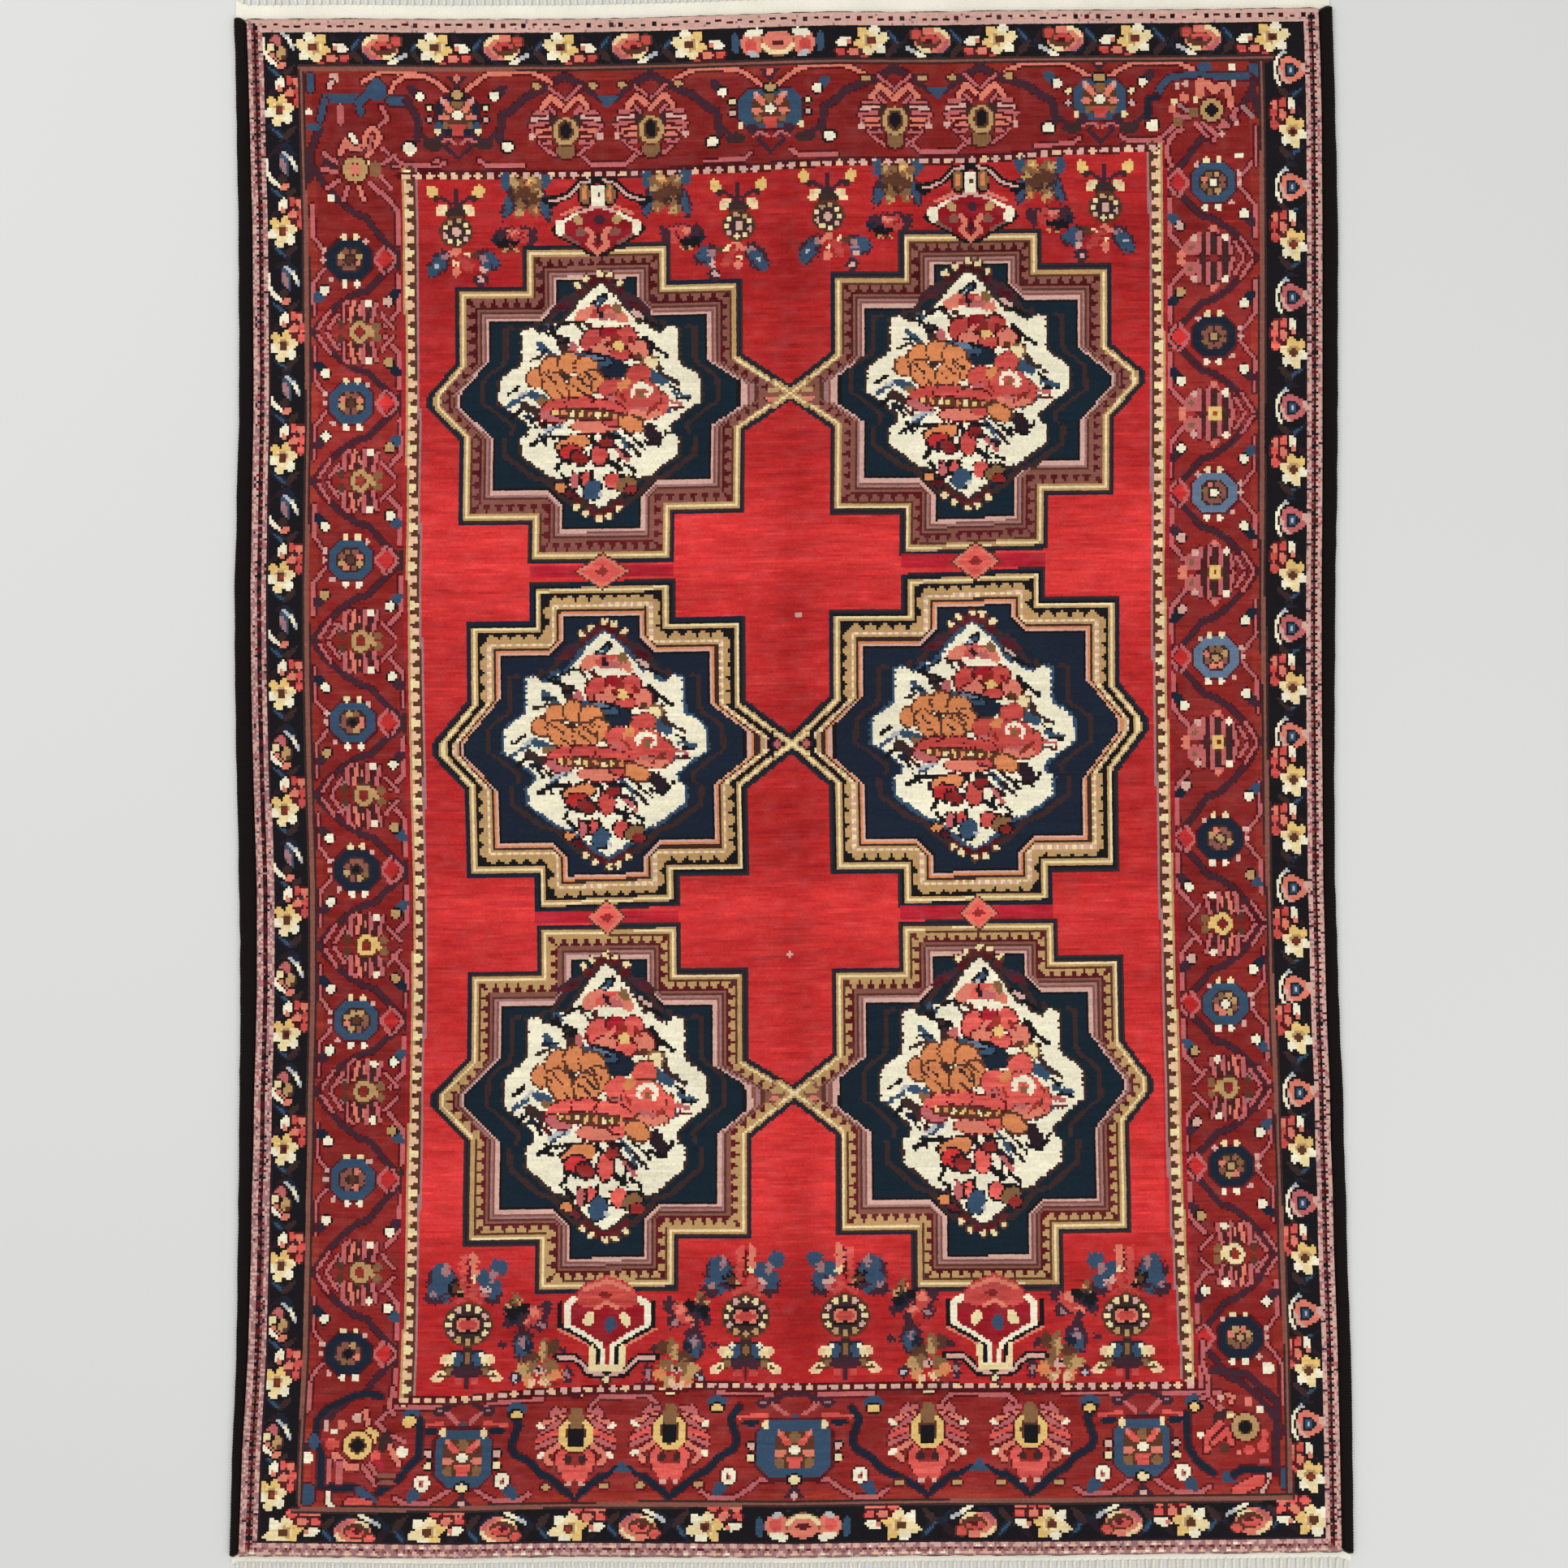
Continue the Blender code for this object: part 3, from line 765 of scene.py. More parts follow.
def buds(chart, draw):
    """A pair of buds in each gap that the vine leaves."""
    for side in ("left", "right"):
        marks = sorted(SIDE_ROSETTES[side] + SIDE_PALMETTES[side])
        for low, high in zip(marks, marks[1:]):
            middle, rosette_first = (low + high) / 2, low in SIDE_ROSETTES[side]
            toward = 1 if rosette_first else -1
            pale = draw.choice(BUD_PAIRS)
            bud(chart, draw, side, middle + toward * 2.3, 0.79, False, rosette_first, pale[0])
            bud(chart, draw, side, middle - toward * 2.6, 0.175, True, not rosette_first, pale[1])
    for side in ("top", "bottom"):
        for col, wide, flower in END_ROSETTES[side]:
            for turn in BOTH:
                out = col + turn * flower
                if side == "bottom":
                    border_spot(chart, side, out, 0.24, 12, mirrored=turn < 0).paint(WHITE_FLOWER)
                    spot = border_spot(chart, side, col + turn * (flower + 5.5), 0.81, 10)
                    spot.paint("slate 8.6x6: 0 2.6; maize 5x3.4 +soot")
                else:
                    bud(chart, draw, side, out, 0.26, True, turn < 0, "ivory")
                    spot = border_spot(chart, side, col + turn * (wide / 2 + 12), 0.73, 10)
                    spot.paint("ivory 5.2x4.2 +soot")
        for col in [col for pair in END_PALMETTES[side] for col in pair]:
            for turn in BOTH:
                border_spot(chart, side, col + turn * 12.5, 0.165, 6).paint("camel 4.4x2.5 +garnet")


# Each corner, in chart knots: its flower's place, width, ring and heart, then its vine, petals
# and buds
CORNERS = (
    (46.5, 66, 11, "camel", "salmon", """
        slate 3.6: 27.5 25.5, 27.5 31; blush 5x4.6: 38 26; blush 2.2: 35.5 30, 37 28;
        slate 3.2: 34 35, 48 35, 49.5 41; slate 3.6: 49 37, 52 34, 57 27.5, 62.5 35; slate 7x8: 57 32.5;
        slate 3: 33.5 36, 31.5 44; plum 2.6: 31 48, 27 58, 26 70; slate 6x3.6: 28.5 47.5;
        slate 4.2: 63 36, 70 36; plum 2.8: 70 36, 74 42, 75 46, 74.5 52; bark 8x6: 82 55;
        rose 2.6: 40.5 38.5, 40.5 45.5; rose 1.8: 58.5 38.5, 61.5 43.5, 57 47.5;
        salmon 2: 63 32, 65 28, 69 25.5, 78 25, 84 28, 88 31.5; ivory 3x2.8: 26.7 40.7;
        ivory 5.6x5: 71 57.3; rose 1.7: 59 57, 68 63.7, 84 64.6, 86.5 62.5; rose 1.6: 59 63.5, 64 60;
        salmon 3: 40 59, 42.5 54, 46 57, 49.5 56; ivory 2.2: 45 51, 47 54;
        salmon 2.2: 50.5 56, 52 50, 55 47.5, 58 52, 52 60; rose 1.6: 54 52, 53 57;
        rose 1.9: 38 63, 33 59; rose 1.9: 38 67, 32 66; plum 1.6: 38 65, 33 62.5;
        rose 1.9: 39 71, 34 74; rose 1.9: 43 74, 41 79; salmon 2: 48 74, 50 79; rose 1.8: 53 72, 57 76;
        bronze 6x7: 55.5 66; cream 3x3: 51.5 63.3; ivory 3.2x3.2: 35.5 78.5; rose 1.6: 58 69, 62 74
    """),
    (427, 44, 10, "camel", "soot", """
        slate 4: 446 25.5, 446 30; ivory 2.8x5: 436.6 26; slate 6.6x4.6: 424.3 25.6;
        slate 2.8: 403 38, 405 33, 408.5 30, 413 29, 421 28.5, 432 29.5, 443 29.5, 446 31;
        plum 2.6: 446 31, 445 36, 447 42, 448 46; navy 2.6: 403 38, 399 39, 398.5 47;
        salmon 3: 422 38, 422 31.5, 425.5 32.5, 428.5 35.5, 432 33, 434.5 35, 435.5 42;
        rose 2.2: 438 44, 436 47, 438.5 49; rose 2.2: 431 48, 434.5 51, 430.5 51.5;
        rose 1.8: 420 50, 425 55.5; rose 1.8: 423 49.5, 429 55, 427.5 57.5; salmon 4.6x4/30: 415 38.5;
        blush 2.9x2.9: 412 33.5, 415.8 32.5, 437 32.5; cream 3x2.7: 420 39.3, 410.5 40.4;
        salmon 3.6x3.6: 409.3 43.2; rose 1.8: 411 46, 417 47.5; mauve 1.8: 413 42, 417 44.5;
        bronze 5x4: 412 49, 419 45; blush 2.6x2.7: 431.5 54.4, 438 50; mauve 1.8: 441 43, 445 47;
        ivory 5.2x4.2: 400.8 51; rose 2: 409 68.5, 406.5 62, 408 57, 411 53.5, 413.5 52.5;
        rose 1.7: 404 56, 408 53; rose 1.8: 446.5 52, 446.5 68; ivory 4.6x2.8: 439 64
    """),
    (50, 623, 12.5, "maize", "soot", """
        slate 5: 29.4 642, 29.4 647; navy 3: 34.5 641.2, 50 641.6; slate 3.8: 51.5 643, 57 646.6;
        navy 2.7: 34.5 641, 34.5 627, 31.5 621, 32 612, 37 606.5, 46 602, 53 600, 59 601.5;
        slate 5x6.5: 31 621.5; navy 2.8: 59 644, 63.5 641, 68 637.5, 73 631.5, 76.6 628, 76.6 611.5;
        coral 6.4x4.8: 38.7 622.5; salmon 3: 40.5 627.5, 45.5 632, 50 632.5;
        rose 2.4: 42.5 631, 42.5 639; rose 2: 38 630, 37.5 639; salmon 4x4: 42.8 614;
        blush 3x5: 36 614.3; ivory 4x2.6: 39.4 617; blush 4x4.2: 49.3 611;
        salmon 2.4: 52.6 608, 54.5 615.5; coral 5x6: 58 628; crimson 7x5.6: 58.3 632;
        bark 6.5x9.5/20: 62 621; rose 1.8: 58 613, 61 616; rose 1.8: 64.5 618.5, 70 621;
        salmon 2.4: 64 623.5, 68 630.5; ivory 5.4x4.4: 69.3 625.6; rose 2: 52.5 632, 58.6 640.5;
        rose 2: 55.5 631.5, 60 637; clay 1.8: 60 636.2, 66 636.2; clay 1.8: 60 639.4, 66 639.4;
        maize 2.4: 52.5 618, 55 616, 57.6 618, 56 623; maize 5x5.4: 71.4 612.6; ivory 4.4x5: 28.6 628.5;
        ivory 2.4: 37.8 644, 37.8 648, 40 650; coral 4: 47 648, 55 648.6; rose 1.8: 27.6 596, 27.6 608;
        rose 2: 64 598, 63 606, 65 609.5
    """),
    (435, 617, 11.5, "camel", "soot", """
        slate 5: 452.4 637, 452.4 642; navy 2.8: 409.6 611, 410 625, 414 632, 421 637;
        slate 7x6: 428 638.5; navy 3: 430 637.5, 434 635, 448 636.5;
        plum 2.8: 448 636, 449 606, 442 600, 436 594, 421 592; bark 8x5/-40: 424 612;
        camel 2.8: 431 613.5, 428 611; cream 2.8x2.8: 428.3 612; coral 3: 418 627, 419 620, 424 615.5;
        coral 2.6: 421 624, 427 618.5, 429 624; umber 5x4.4: 426 626;
        coral 5x4.8: 436.5 627, 442.5 625.5; coral 3.4x5: 443.3 620.5; salmon 3x3: 432 628;
        rose 3.4x2.8: 443 632, 424 608.3; salmon 3.4x5: 436.4 606;
        salmon 1.8: 427 602.5, 430 604, 429 606.5; blush 2.6x2.6: 424.5 604.2;
        ivory 3.8x2.7: 441.6 609.6, 415.6 620.2; blush 3.4x5: 444.6 639.5; blush 2: 444 641, 442 645;
        coral 5: 431.5 644.5, 441 640; ivory 5x5.8: 445.2 591.5; cream 2.8x3: 453.2 619.5, 453.7 623.8;
        rose 1.9: 417 580, 416.5 588, 419.5 597, 419 603, 416 604.5; rose 1.8: 452 590, 452 607
    """),
)
CORNER_REACH = 44


def corners(chart):
    """The vine and the turned flower at each corner of the main border."""
    for x, y, wide, ring, heart, parts in CORNERS:
        spot = Spot(chart, x, y, CORNER_REACH)
        spot.x += x
        spot.y += y
        spot.paint(parts, halo="garnet")
        spot.paint(
            f"""garnet {wide + 1.6}x{wide + 1.6}: {x} {y}; umber {wide}x{wide}: {x} {y};
            {ring} ring {wide}x{wide} 2.6: {x} {y}; {heart} 5.2x5.2: {x} {y}"""
        )


def main_border(chart, draw):
    for side in ("left", "right"):
        side_vine(chart, side)
    end_vine(chart, "top", "plum")
    end_vine(chart, "bottom", "navy")
    for side in ("left", "right", "top", "bottom"):
        pink_lines(chart, side)
    for side, rows in SIDE_ROSETTES.items():
        for row, blue in zip(rows, SIDE_BLUES[side]):
            heart = draw.choice(("ivory", "camel") if side == "right" else ("soot", "umber"))
            side_rosette(border_spot(chart, side, row, SIDE_DEPTHS[side][0], 26), blue, draw, heart)
    for side, rows in SIDE_PALMETTES.items():
        for number, row in enumerate(rows):
            gold = draw.choice(("camel", "maize", "cream"))
            heart = draw.choice(("madder", "brick", "madder"))
            barred, plain = side == "right" and number < 4, side == "right" and number == 0
            spot = border_spot(chart, side, row, SIDE_DEPTHS[side][1], 26)
            side_palmette(spot, gold, heart, barred, plain)
    for side, deep in (("top", 0.44), ("bottom", 0.465)):
        for col, wide, _ in END_ROSETTES[side]:
            blue = "navy" if col < 150 and side == "top" else "slate"
            end_rosette(border_spot(chart, side, col, deep, 34), side, wide, blue)
    for side, deep in (("top", 0.58), ("bottom", 0.615)):
        for col in [col for pair in END_PALMETTES[side] for col in pair]:
            spot = border_spot(chart, side, col, deep, 32)
            spot.paint(END_FAN[side], BOTH, halo="garnet")
            spot.paint(END_FAN_HEART[side])
    buds(chart, draw)
    corners(chart)


# The inner guard's lines along a side: (how far towards the field, width, yarn)
GUARD_LINES = ((3.2, 1.8, "mauve"), (1.4, 3.2, "umber"), (-3.4, 1.4, "crimson"), (-1.6, 1.6, "camel"))
BEAD_PITCH = {"sides": 5.7, "ends": 5.35}


def inner_guard(chart):
    """Beads against dark triangles on the sides, and dots at both ends."""
    for side, inward in (("left", 1), ("right", -1)):
        top, bottom = BEADS[side][0][0], BEADS[side][-1][0]
        line = [(across(BEADS[side], row), row) for row in np.arange(top, bottom, 8.0)]
        for shift, width, yarn in GUARD_LINES:
            stroke(chart, [(col + shift * inward, row) for col, row in line], width, yarn)
        for count, row in enumerate(np.arange(top + 2, bottom, BEAD_PITCH["sides"])):
            spot = Spot(chart, across(BEADS[side], row), row, 6, (0, 1), (inward, 0))
            pale = "peach" if count % 3 else "cream"
            spot.paint(pale + " shape: -2.4 -1.4, 2.4 -1.4, 1 2.4, -1 2.4")
    for side in ("top", "bottom"):
        left, right = BEADS[side][0][0], BEADS[side][-1][0]
        line = [(col, across(BEADS[side], col)) for col in np.arange(left, right, 8.0)]
        stroke(chart, line, 3.2, "garnet")
        for count, col in enumerate(np.arange(left + 3, right, BEAD_PITCH["ends"])):
            pale = "peach" if count % 3 == 0 or count < 6 else "blush"
            Spot(chart, col, across(BEADS[side], col), 5).paint(pale + " 3.8x2.6")


# ---- The six stepped medallions ----

Medallion = namedtuple(
    "Medallion", "name centre arm_top shoulder_top side_top tips side_low shoulder_low arm_low toothed"
)
# Each figure is a chart place, left one first: an arm or shoulder is (left, right, row at
# left, row at right), a side is (row at left, row at right), the tips are two points.
MEDALLIONS = (
    Medallion(
        "top left", (154.6, 165.6), (120.3, 186, 99, 98), (89.8, 217.6, 116.8, 115),
        (150.5, 147.5), ((75, 167.5), (244.5, 165.3)), (184, 181.7), (92, 219, 221.3, 217.3),
        (123.2, 188.4, 238.5, 238.0), False,
    ),
    Medallion(
        "top right", (319.0, 162.9), (287.4, 351, 95.2, 95.2), (257, 382.2, 113.5, 110.4),
        (147.8, 145.4), ((233.5, 165.3), (399.5, 159.5)), (181, 177.5), (256.7, 383.4, 218.7, 211.4),
        (288.4, 354, 237.5, 234.4), False,
    ),
    Medallion(
        "middle left", (158.0, 316.4), (124, 188.6, 246.4, 245), (95.6, 219.8, 263, 262),
        (298, 298.4), ((77.5, 319), (245.5, 318)), (336.8, 337.3), (93.8, 220, 375.1, 374.9),
        (124, 188.6, 390.7, 387.9), True,
    ),
    Medallion(
        "middle right", (321.8, 314.8), (289.5, 353, 244.6, 242), (256.9, 386.4, 260.1, 255.1),
        (297.3, 292.9), ((234.5, 318), (401, 311)), (336.8, 331.8), (256.3, 384.8, 375.1, 374.6),
        (286.3, 355.4, 390.4, 389), True,
    ),
    Medallion(
        "bottom left", (156.6, 471), (124.6, 189, 395.8, 395.2), (94, 218.6, 415.6, 415.4),
        (453.8, 454.4), ((76, 472), (244.5, 470)), (490, 488.8), (93.4, 220.4, 535.6, 533.2),
        (124.8, 188, 557.5, 555.5), False,
    ),
    Medallion(
        "bottom right", (322.0, 470), (286.1, 356.8, 395.6, 395), (256.1, 385.6, 415.6, 411.3),
        (452.5, 448.1), ((233.5, 470), (400, 468)), (488.8, 484.4), (257.4, 387, 532.5, 531.9),
        (290.5, 356.8, 556.9, 556.5), False,
    ),
)


def medallion_outline(medallion):
    """The corners of the outer edge, clockwise from the top arm's left one."""
    a1, a2, a_left, a_right = medallion.arm_top
    b1, b2, b_left, b_right = medallion.shoulder_top
    d1, d2, d_left, d_right = medallion.shoulder_low
    c1, c2, c_left, c_right = medallion.arm_low
    corners = [
        (a1, a_left), (a2, a_right), (a2, b_right), (b2, b_right), (b2, medallion.side_top[1]),
        medallion.tips[1], (d2, medallion.side_low[1]), (d2, d_right), (c2, d_right),
        (c2, c_right), (c1, c_left), (c1, d_left), (d1, d_left), (d1, medallion.side_low[0]),
        medallion.tips[0], (b1, medallion.side_top[0]), (b1, b_left), (a1, b_left),
    ]
    return [(x - medallion.centre[0], y - medallion.centre[1]) for x, y in corners]


def slants(start, end, least=6):
    """Whether a side runs more than a few knots both ways."""
    return min(abs(end[0] - start[0]), abs(end[1] - start[1])) > least


def inset(points, depth):
    """A clockwise outline, moved inwards by `depth` with its corners kept sharp. Its slanting
    sides move less, since the frame is narrower along them."""
    slanting = min(depth, 5 + 0.55 * (depth - 5))
    moved = []
    for index, (x, y) in enumerate(points):
        lines = []
        ahead = points[(index + 1) % len(points)]
        for (x1, y1), (x2, y2) in ((points[index - 1], (x, y)), ((x, y), ahead)):
            length = math.hypot(x2 - x1, y2 - y1)
            across_x, across_y = -(y2 - y1) / length, (x2 - x1) / length
            deep = slanting if slants((x1, y1), (x2, y2)) else depth
            lines.append((across_x, across_y, across_x * x + across_y * y + deep))
        (p, q, r), (s, t, u) = lines
        det = p * t - q * s
        moved.append(((r * t - q * u) / det, (p * u - r * s) / det))
    return moved


# A tooth of the plain medallions' frame
TRIANGLE = ((-2.4, -1.8), (2.4, -1.8), (0.8, 1.6), (-0.8, 1.6))


def teeth(spot, points, depth, pitch, yarn, wide=0, high=0):
    """Ovals along an outline at one depth in it, or triangles where no size is given."""
    line = inset(points, depth)
    for (x1, y1), (x2, y2) in zip(line, line[1:] + line[:1]):
        if wide > 3 and slants((x1, y1), (x2, y2)):
            continue
        steps = max(int(math.hypot(x2 - x1, y2 - y1) / pitch), 1)
        turn = math.degrees(math.atan2(y2 - y1, x2 - x1))
        cosine, sine = math.cos(math.radians(turn)), math.sin(math.radians(turn))
        for step in range(steps):
            share = (step + 0.5) / steps
            x, y = x1 + (x2 - x1) * share, y1 + (y2 - y1) * share
            if wide:
                spot.stamp("oval", x, y, wide, high, yarn, turn)
            else:
                tooth = [(x + p * cosine - q * sine, y + p * sine + q * cosine) for p, q in TRIANGLE]
                spot.shape(tooth, yarn)


# The deeper a band is in the frame, the more of its corners and tips is cut, from these depths on
CUT_FROM = 9.0
TIP_CUT_FROM = 7.0
CUT_GROWTH = 1.2
CUT_MOST = 7.0
# How much of a tip that is wider than a right angle is cut
BLUNT_TIP_CUT = 3.5


def cut_corners(points, cut, tip_cut):
    """Cuts the square corners that point into a clockwise outline, and its sharp outer tips."""
    made = []
    for index, (x, y) in enumerate(points):
        back, ahead = points[index - 1], points[(index + 1) % len(points)]
        before, after = math.dist(back, (x, y)), math.dist(ahead, (x, y))
        turn = (x - back[0]) * (ahead[1] - y) - (y - back[1]) * (ahead[0] - x)
        is_tip = turn > 0 and slants(back, (x, y), 3) and slants(ahead, (x, y), 3)
        if not is_tip and turn > -0.97 * before * after:
            made.append((x, y))
            continue
        off = cut
        if is_tip:
            onwards = (x - back[0]) * (ahead[0] - x) + (y - back[1]) * (ahead[1] - y)
            off = tip_cut if onwards < -0.1 * before * after else BLUNT_TIP_CUT
        for (other_x, other_y), length in ((back, before), (ahead, after)):
            made.append((x + (other_x - x) * off / length, y + (other_y - y) * off / length))
    return made


# Bands of a medallion's frame, from the outside: (yarn, how deep it starts)
FRAME_BANDS = (
    ("bark", 0.0), ("navy", 0.5), ("bark", 1.7), ("camel", 2.2), ("cream", 3.1), ("camel", 4.0),
    ("umber", 5.0), ("garnet", 5.6), ("clay", 9.8), ("umber", 11.0), ("mauve", 12.0),
    ("clay", 13.0), ("blush", 13.8), ("soot", 15.2), ("night", 16.2),
)
TOOTHED_BANDS = (
    ("bark", 0.0), ("navy", 0.5), ("soot", 2.0), ("camel", 2.6), ("cream", 3.3), ("camel", 4.3),
    ("soot", 5.2), ("camel", 8.8), ("blush", 9.8), ("camel", 11.2), ("bark", 12.2),
    ("apricot", 13.4), ("blush", 14.4), ("soot", 15.4), ("navy", 16.4),
)

# Half the height of the ivory heart, and of the bottom medallions' taller one
HEART = 49.0
TALL_HEART = 58.0
# The heart's right half from the top, in knots
HEART_HALF = (
    (0, -49), (3, -47), (8, -42), (17, -31), (20, -32), (22, -29), (27, -27), (30, -30),
    (34.5, -29), (34.5, -16), (36, -13), (40, -11), (44.5, -7), (45, 3), (40, 6), (31, 13),
    (32, 17), (35, 18), (34.5, 26), (30, 29), (22, 35), (15, 37), (10, 42), (5, 46), (0, 49),
)


def heart_outline(high, grow):
    """The heart's outline at a half height, grown on all sides."""
    return mirrored([(x + (grow if x > 4 else 0), y * (high + grow) / HEART) for x, y in HEART_HALF])


# The bunch of roses on the ivory heart, from the top: (its parts, their edge, the edge's width)
BUNCH_TOP = (
    ("""
    soot 3.8: 2 -43, -10.5 -32.6; slate 1.8: 1.6 -42.6, -8.6 -34.2; fog 1.8x1.6: -1 -40.6, -4.5 -37.8;
    soot 1.4: -13 -33, -20 -30; slate 2: -23 -31, -20 -29; soot 1.6: 14 -37, 19 -33, 25 -30;
    blush 1.8: 15 -36.6, 19 -34; bark 1.2: -11 -32, -7 -28; bark 1.2: -8 -33, -4 -29;
    garnet 1.4: -5 -32, -3 -29; soot 2: -24 -28, -19 -26, -14 -25; soot 1.6: -22 -30, -19 -25;
    bark 3.8: -17 -24, -15 -18; soot 1.6: -19 -23, -13 -24; slate 2.4: -27 -23, -20 -17;
    navy 1.4: -28 -20, -22 -20; bark 1.4: -31 -16, -25 -18; soot 3: 20 -25, 23 -21, 21 -17;
    soot 1.8: 23 -22, 30 -17; soot 1.6: 18 -17, 26 -16.5; slate 4.6: 22 -9, 28 -6;
    bark 3: 25 -14, 27 -10; bark 1.8: 28 -9, 35 -5; soot 1.4: 31 -4, 35 -2; rose 1.8: 28 2, 36 4;
    slate 1.8: 32 -1, 40 1; soot 1.2: 34 1.4, 40 2; garnet 1.4: 31 6, 37 6; soot 1.6: -41 -1, -36 -4;
    slate 1.8: -41 4, -34 0; fog 1.6: -36 0, -33 -2; soot 2: -39 9, -34 5; bark 4: -34 4, -28 7;
    navy 2.4: -33 9, -29 10; slate 3.4: -31 -1, -25 1; bronze 3: -27 2, -20 3; slate 3.6: 24 9, 30 6;
    soot 1.3: -31 10, -28 14; garnet 1.3: -28 10, -25 14; soot 1.3: -25 12, -22 16;
    fog 2.4: -24 15, -17 12; slate 1.1: -25 17, -18 13; aubergine 6: 22 15, 25 19;
    soot 1.6: 19 20, 26 22; soot 1.6: 27 20, 30 16; slate 1.4: 6 15, 17 25; soot 1.4: 10 14.6, 20 23;
    slate 1.2: 9 19, 13 24; soot 2: -30 21, -24 18, -16 17.6; soot 1.6: -27 17, -24 21;
    soot 2: -20 21, -16 27, -19 32; soot 1.6: -18 27, -13 29; aubergine 2.2: -9 30, -5 28;
    soot 2: -4 16, -2 21; soot 1.8: 1 17, 9 18; soot 1.8: 3 15, 5 20; aubergine 2.4: 6 22, 13 26;
    soot 2.4: 3 28, 9 32; soot 1.6: 9 26, 8 31; soot 1.6: 11 30, 16 33; aubergine 1.6: 12 20, 18 26;
    rose 1.6: 8 24, 13 29; soot 2: 3 35, 16 35.4; soot 2: -17 34, -14 37; soot 1.8: -8.6 34, -8.4 39;
    soot 1.8: -3.6 33, -3.4 38; garnet 1.4: -12 33, -9 35
    """, None, 0),
    ("""
    salmon 11x6/-25: -6 -36; coral 11x5.4/-15: 1 -36.5; salmon 11x6.4/20: 7 -34.6; bronze 5x4/40: 8 -38;
    rose 9x4: 3 -34.4; aubergine 5x2.2/60: 0 -36
    """, None, 0),
    ("""
    coral 11x10/-30: -3 -24; crimson 9x8: 5 -27; coral 9x8/20: 12 -26; salmon 9x8/40: 17 -20;
    salmon 13x5/10: 2 -19.5; coral 9x5: 9 -18
    """, "garnet", 0.8),
    ("""
    salmon 6x2.4/-40: 2 -24; brick 4x6/20: 7 -25; maize 5x4.2: 8 -21.6; madder 5x2/50: 14 -24;
    umber 4x3: 17 -17;
    rose 4.6x9: -12 -19.5; ivory 13x3.2/8: 4 -31.6
    """, None, 0),
    ("""
    navy 27x9/12: 0 -13.4; slate 18x4.6/12: -3 -16; sky 9x1.9/14: -2 -17
    """, "soot", 0.6),
    ("cream 6.4x5.4/-20: 22 -14", "bronze", 0.8),
    ("""
    apricot 9x8: -28 -8; apricot 10x8/-40: -22 -13; apricot 9x9: -14 -14.5; apricot 11x9/30: -6 -12;
    apricot 9x9/50: -3 -6.5; apricot 9x14/-40: -20 -4.5; apricot 10x11/-30: -9 -3.5
    """, "umber", 0.9),
)
# Short dark lines on the gold flower: (x, y, how far it runs)
GOLD_FOLDS = ((-10, -8, 6), (-12, -5, 6), (-7, -11, 5), (-24, -9, 5), (-20, -3, 4), (-27, -8, 3))
BUNCH_MIDDLE = (
    ("bark 3.4x3.4: -15.4 -8.6", None, 0),
    ("""
    coral 11x9/-20: 17 -9; coral 13x9: 6 -3; rose 16x8/10: 9 4; coral 11x12/20: 25 4; coral 20x15: 17 1;
    salmon 15x5: 20 8
    """, "umber", 0.5),
    ("""
    apricot 6x4/-30: 10.5 -5; brick 5x1.6/60: 10 1; brick 8x1.8/-40: 23 6; rose 8x1.6/10: 18 6;
    ivory ring 10x8 2.2 150 260: 18.4 -1.6; bronze 3x3.4: 18.4 -.6
    """, None, 0),
    ("""
    coral 17x7/-12: -18 4.5; coral 15x6: -8 3.4; coral 15x6/10: 3 5; rose 12x5/10: -21 9;
    salmon 22x6: -2 13; coral 12x6: 7 10.5; umber 32x4.4/3: -6 8
    """, "garnet", 0.6),
)
BUNCH_FOOT = (
    ("apricot 11x6.4/20: 14 12.4", "umber", 0),
    ("""
    apricot 15x7/-15: -12 21; field 10x6: -13 24.5; madder 8x5/20: -9 27; coral 7x10: 0 25.5;
    madder 6x4: 3 20.6
    """, "aubergine", 0.9),
    ("""
    rose 3.6x7: -11 37; coral 3.6x7: -6 36.4; slate 8x9/30: -3 41; coral 7x7/-30: 6 37;
    bronze 9x6/-20: 12 38.6; madder 6x4: 14 41; apricot 5x3.6: -17 40; garnet 5x3/20: -13 43
    """, "soot", 0.5),
    ("fog 2.6x2.2: .5 43", None, 0),
)


def bouquet(spot, draw):
    for parts, edge, edge_width in BUNCH_TOP:
        spot.paint(parts, edge=edge, edge_width=edge_width)
    for x, y, run in GOLD_FOLDS:
        spot.line([(x, y), (x + run, y + run * 0.8)], 0.9, draw.choice(("umber", "bark")))
    for parts, edge, edge_width in BUNCH_MIDDLE:
        spot.paint(parts, edge=edge, edge_width=edge_width)
    for step in range(8):
        yarn = ("maize", "apricot", "cream")[step % 3]
        spot.stamp("oval", -20 + step * 3.8, 7.2 + step * 0.22, 2.2, 2.6, yarn)
    for parts, edge, edge_width in BUNCH_FOOT:
        spot.paint(parts, edge=edge, edge_width=edge_width)


def tip_dots(spot, high):
    """Cream dots on a dark-red arc, over and under the heart."""
    for sign in BOTH:
        for x, y in ((-8, -2.6), (-4, 1.4), (0, 3.0), (4, 1.4), (8, -2.6)):
            spot.stamp("oval", x, sign * (high + y - 0.4), 5.2, 4.6, "garnet")
        for x, y in ((-10, -0.6), (-6, 2.2), (0, 4.4), (4.4, 3.6), (9, 0.2)):
            spot.stamp("oval", x, sign * (high + y), 3.0, 2.8, "cream", 0, "umber", 0.5)


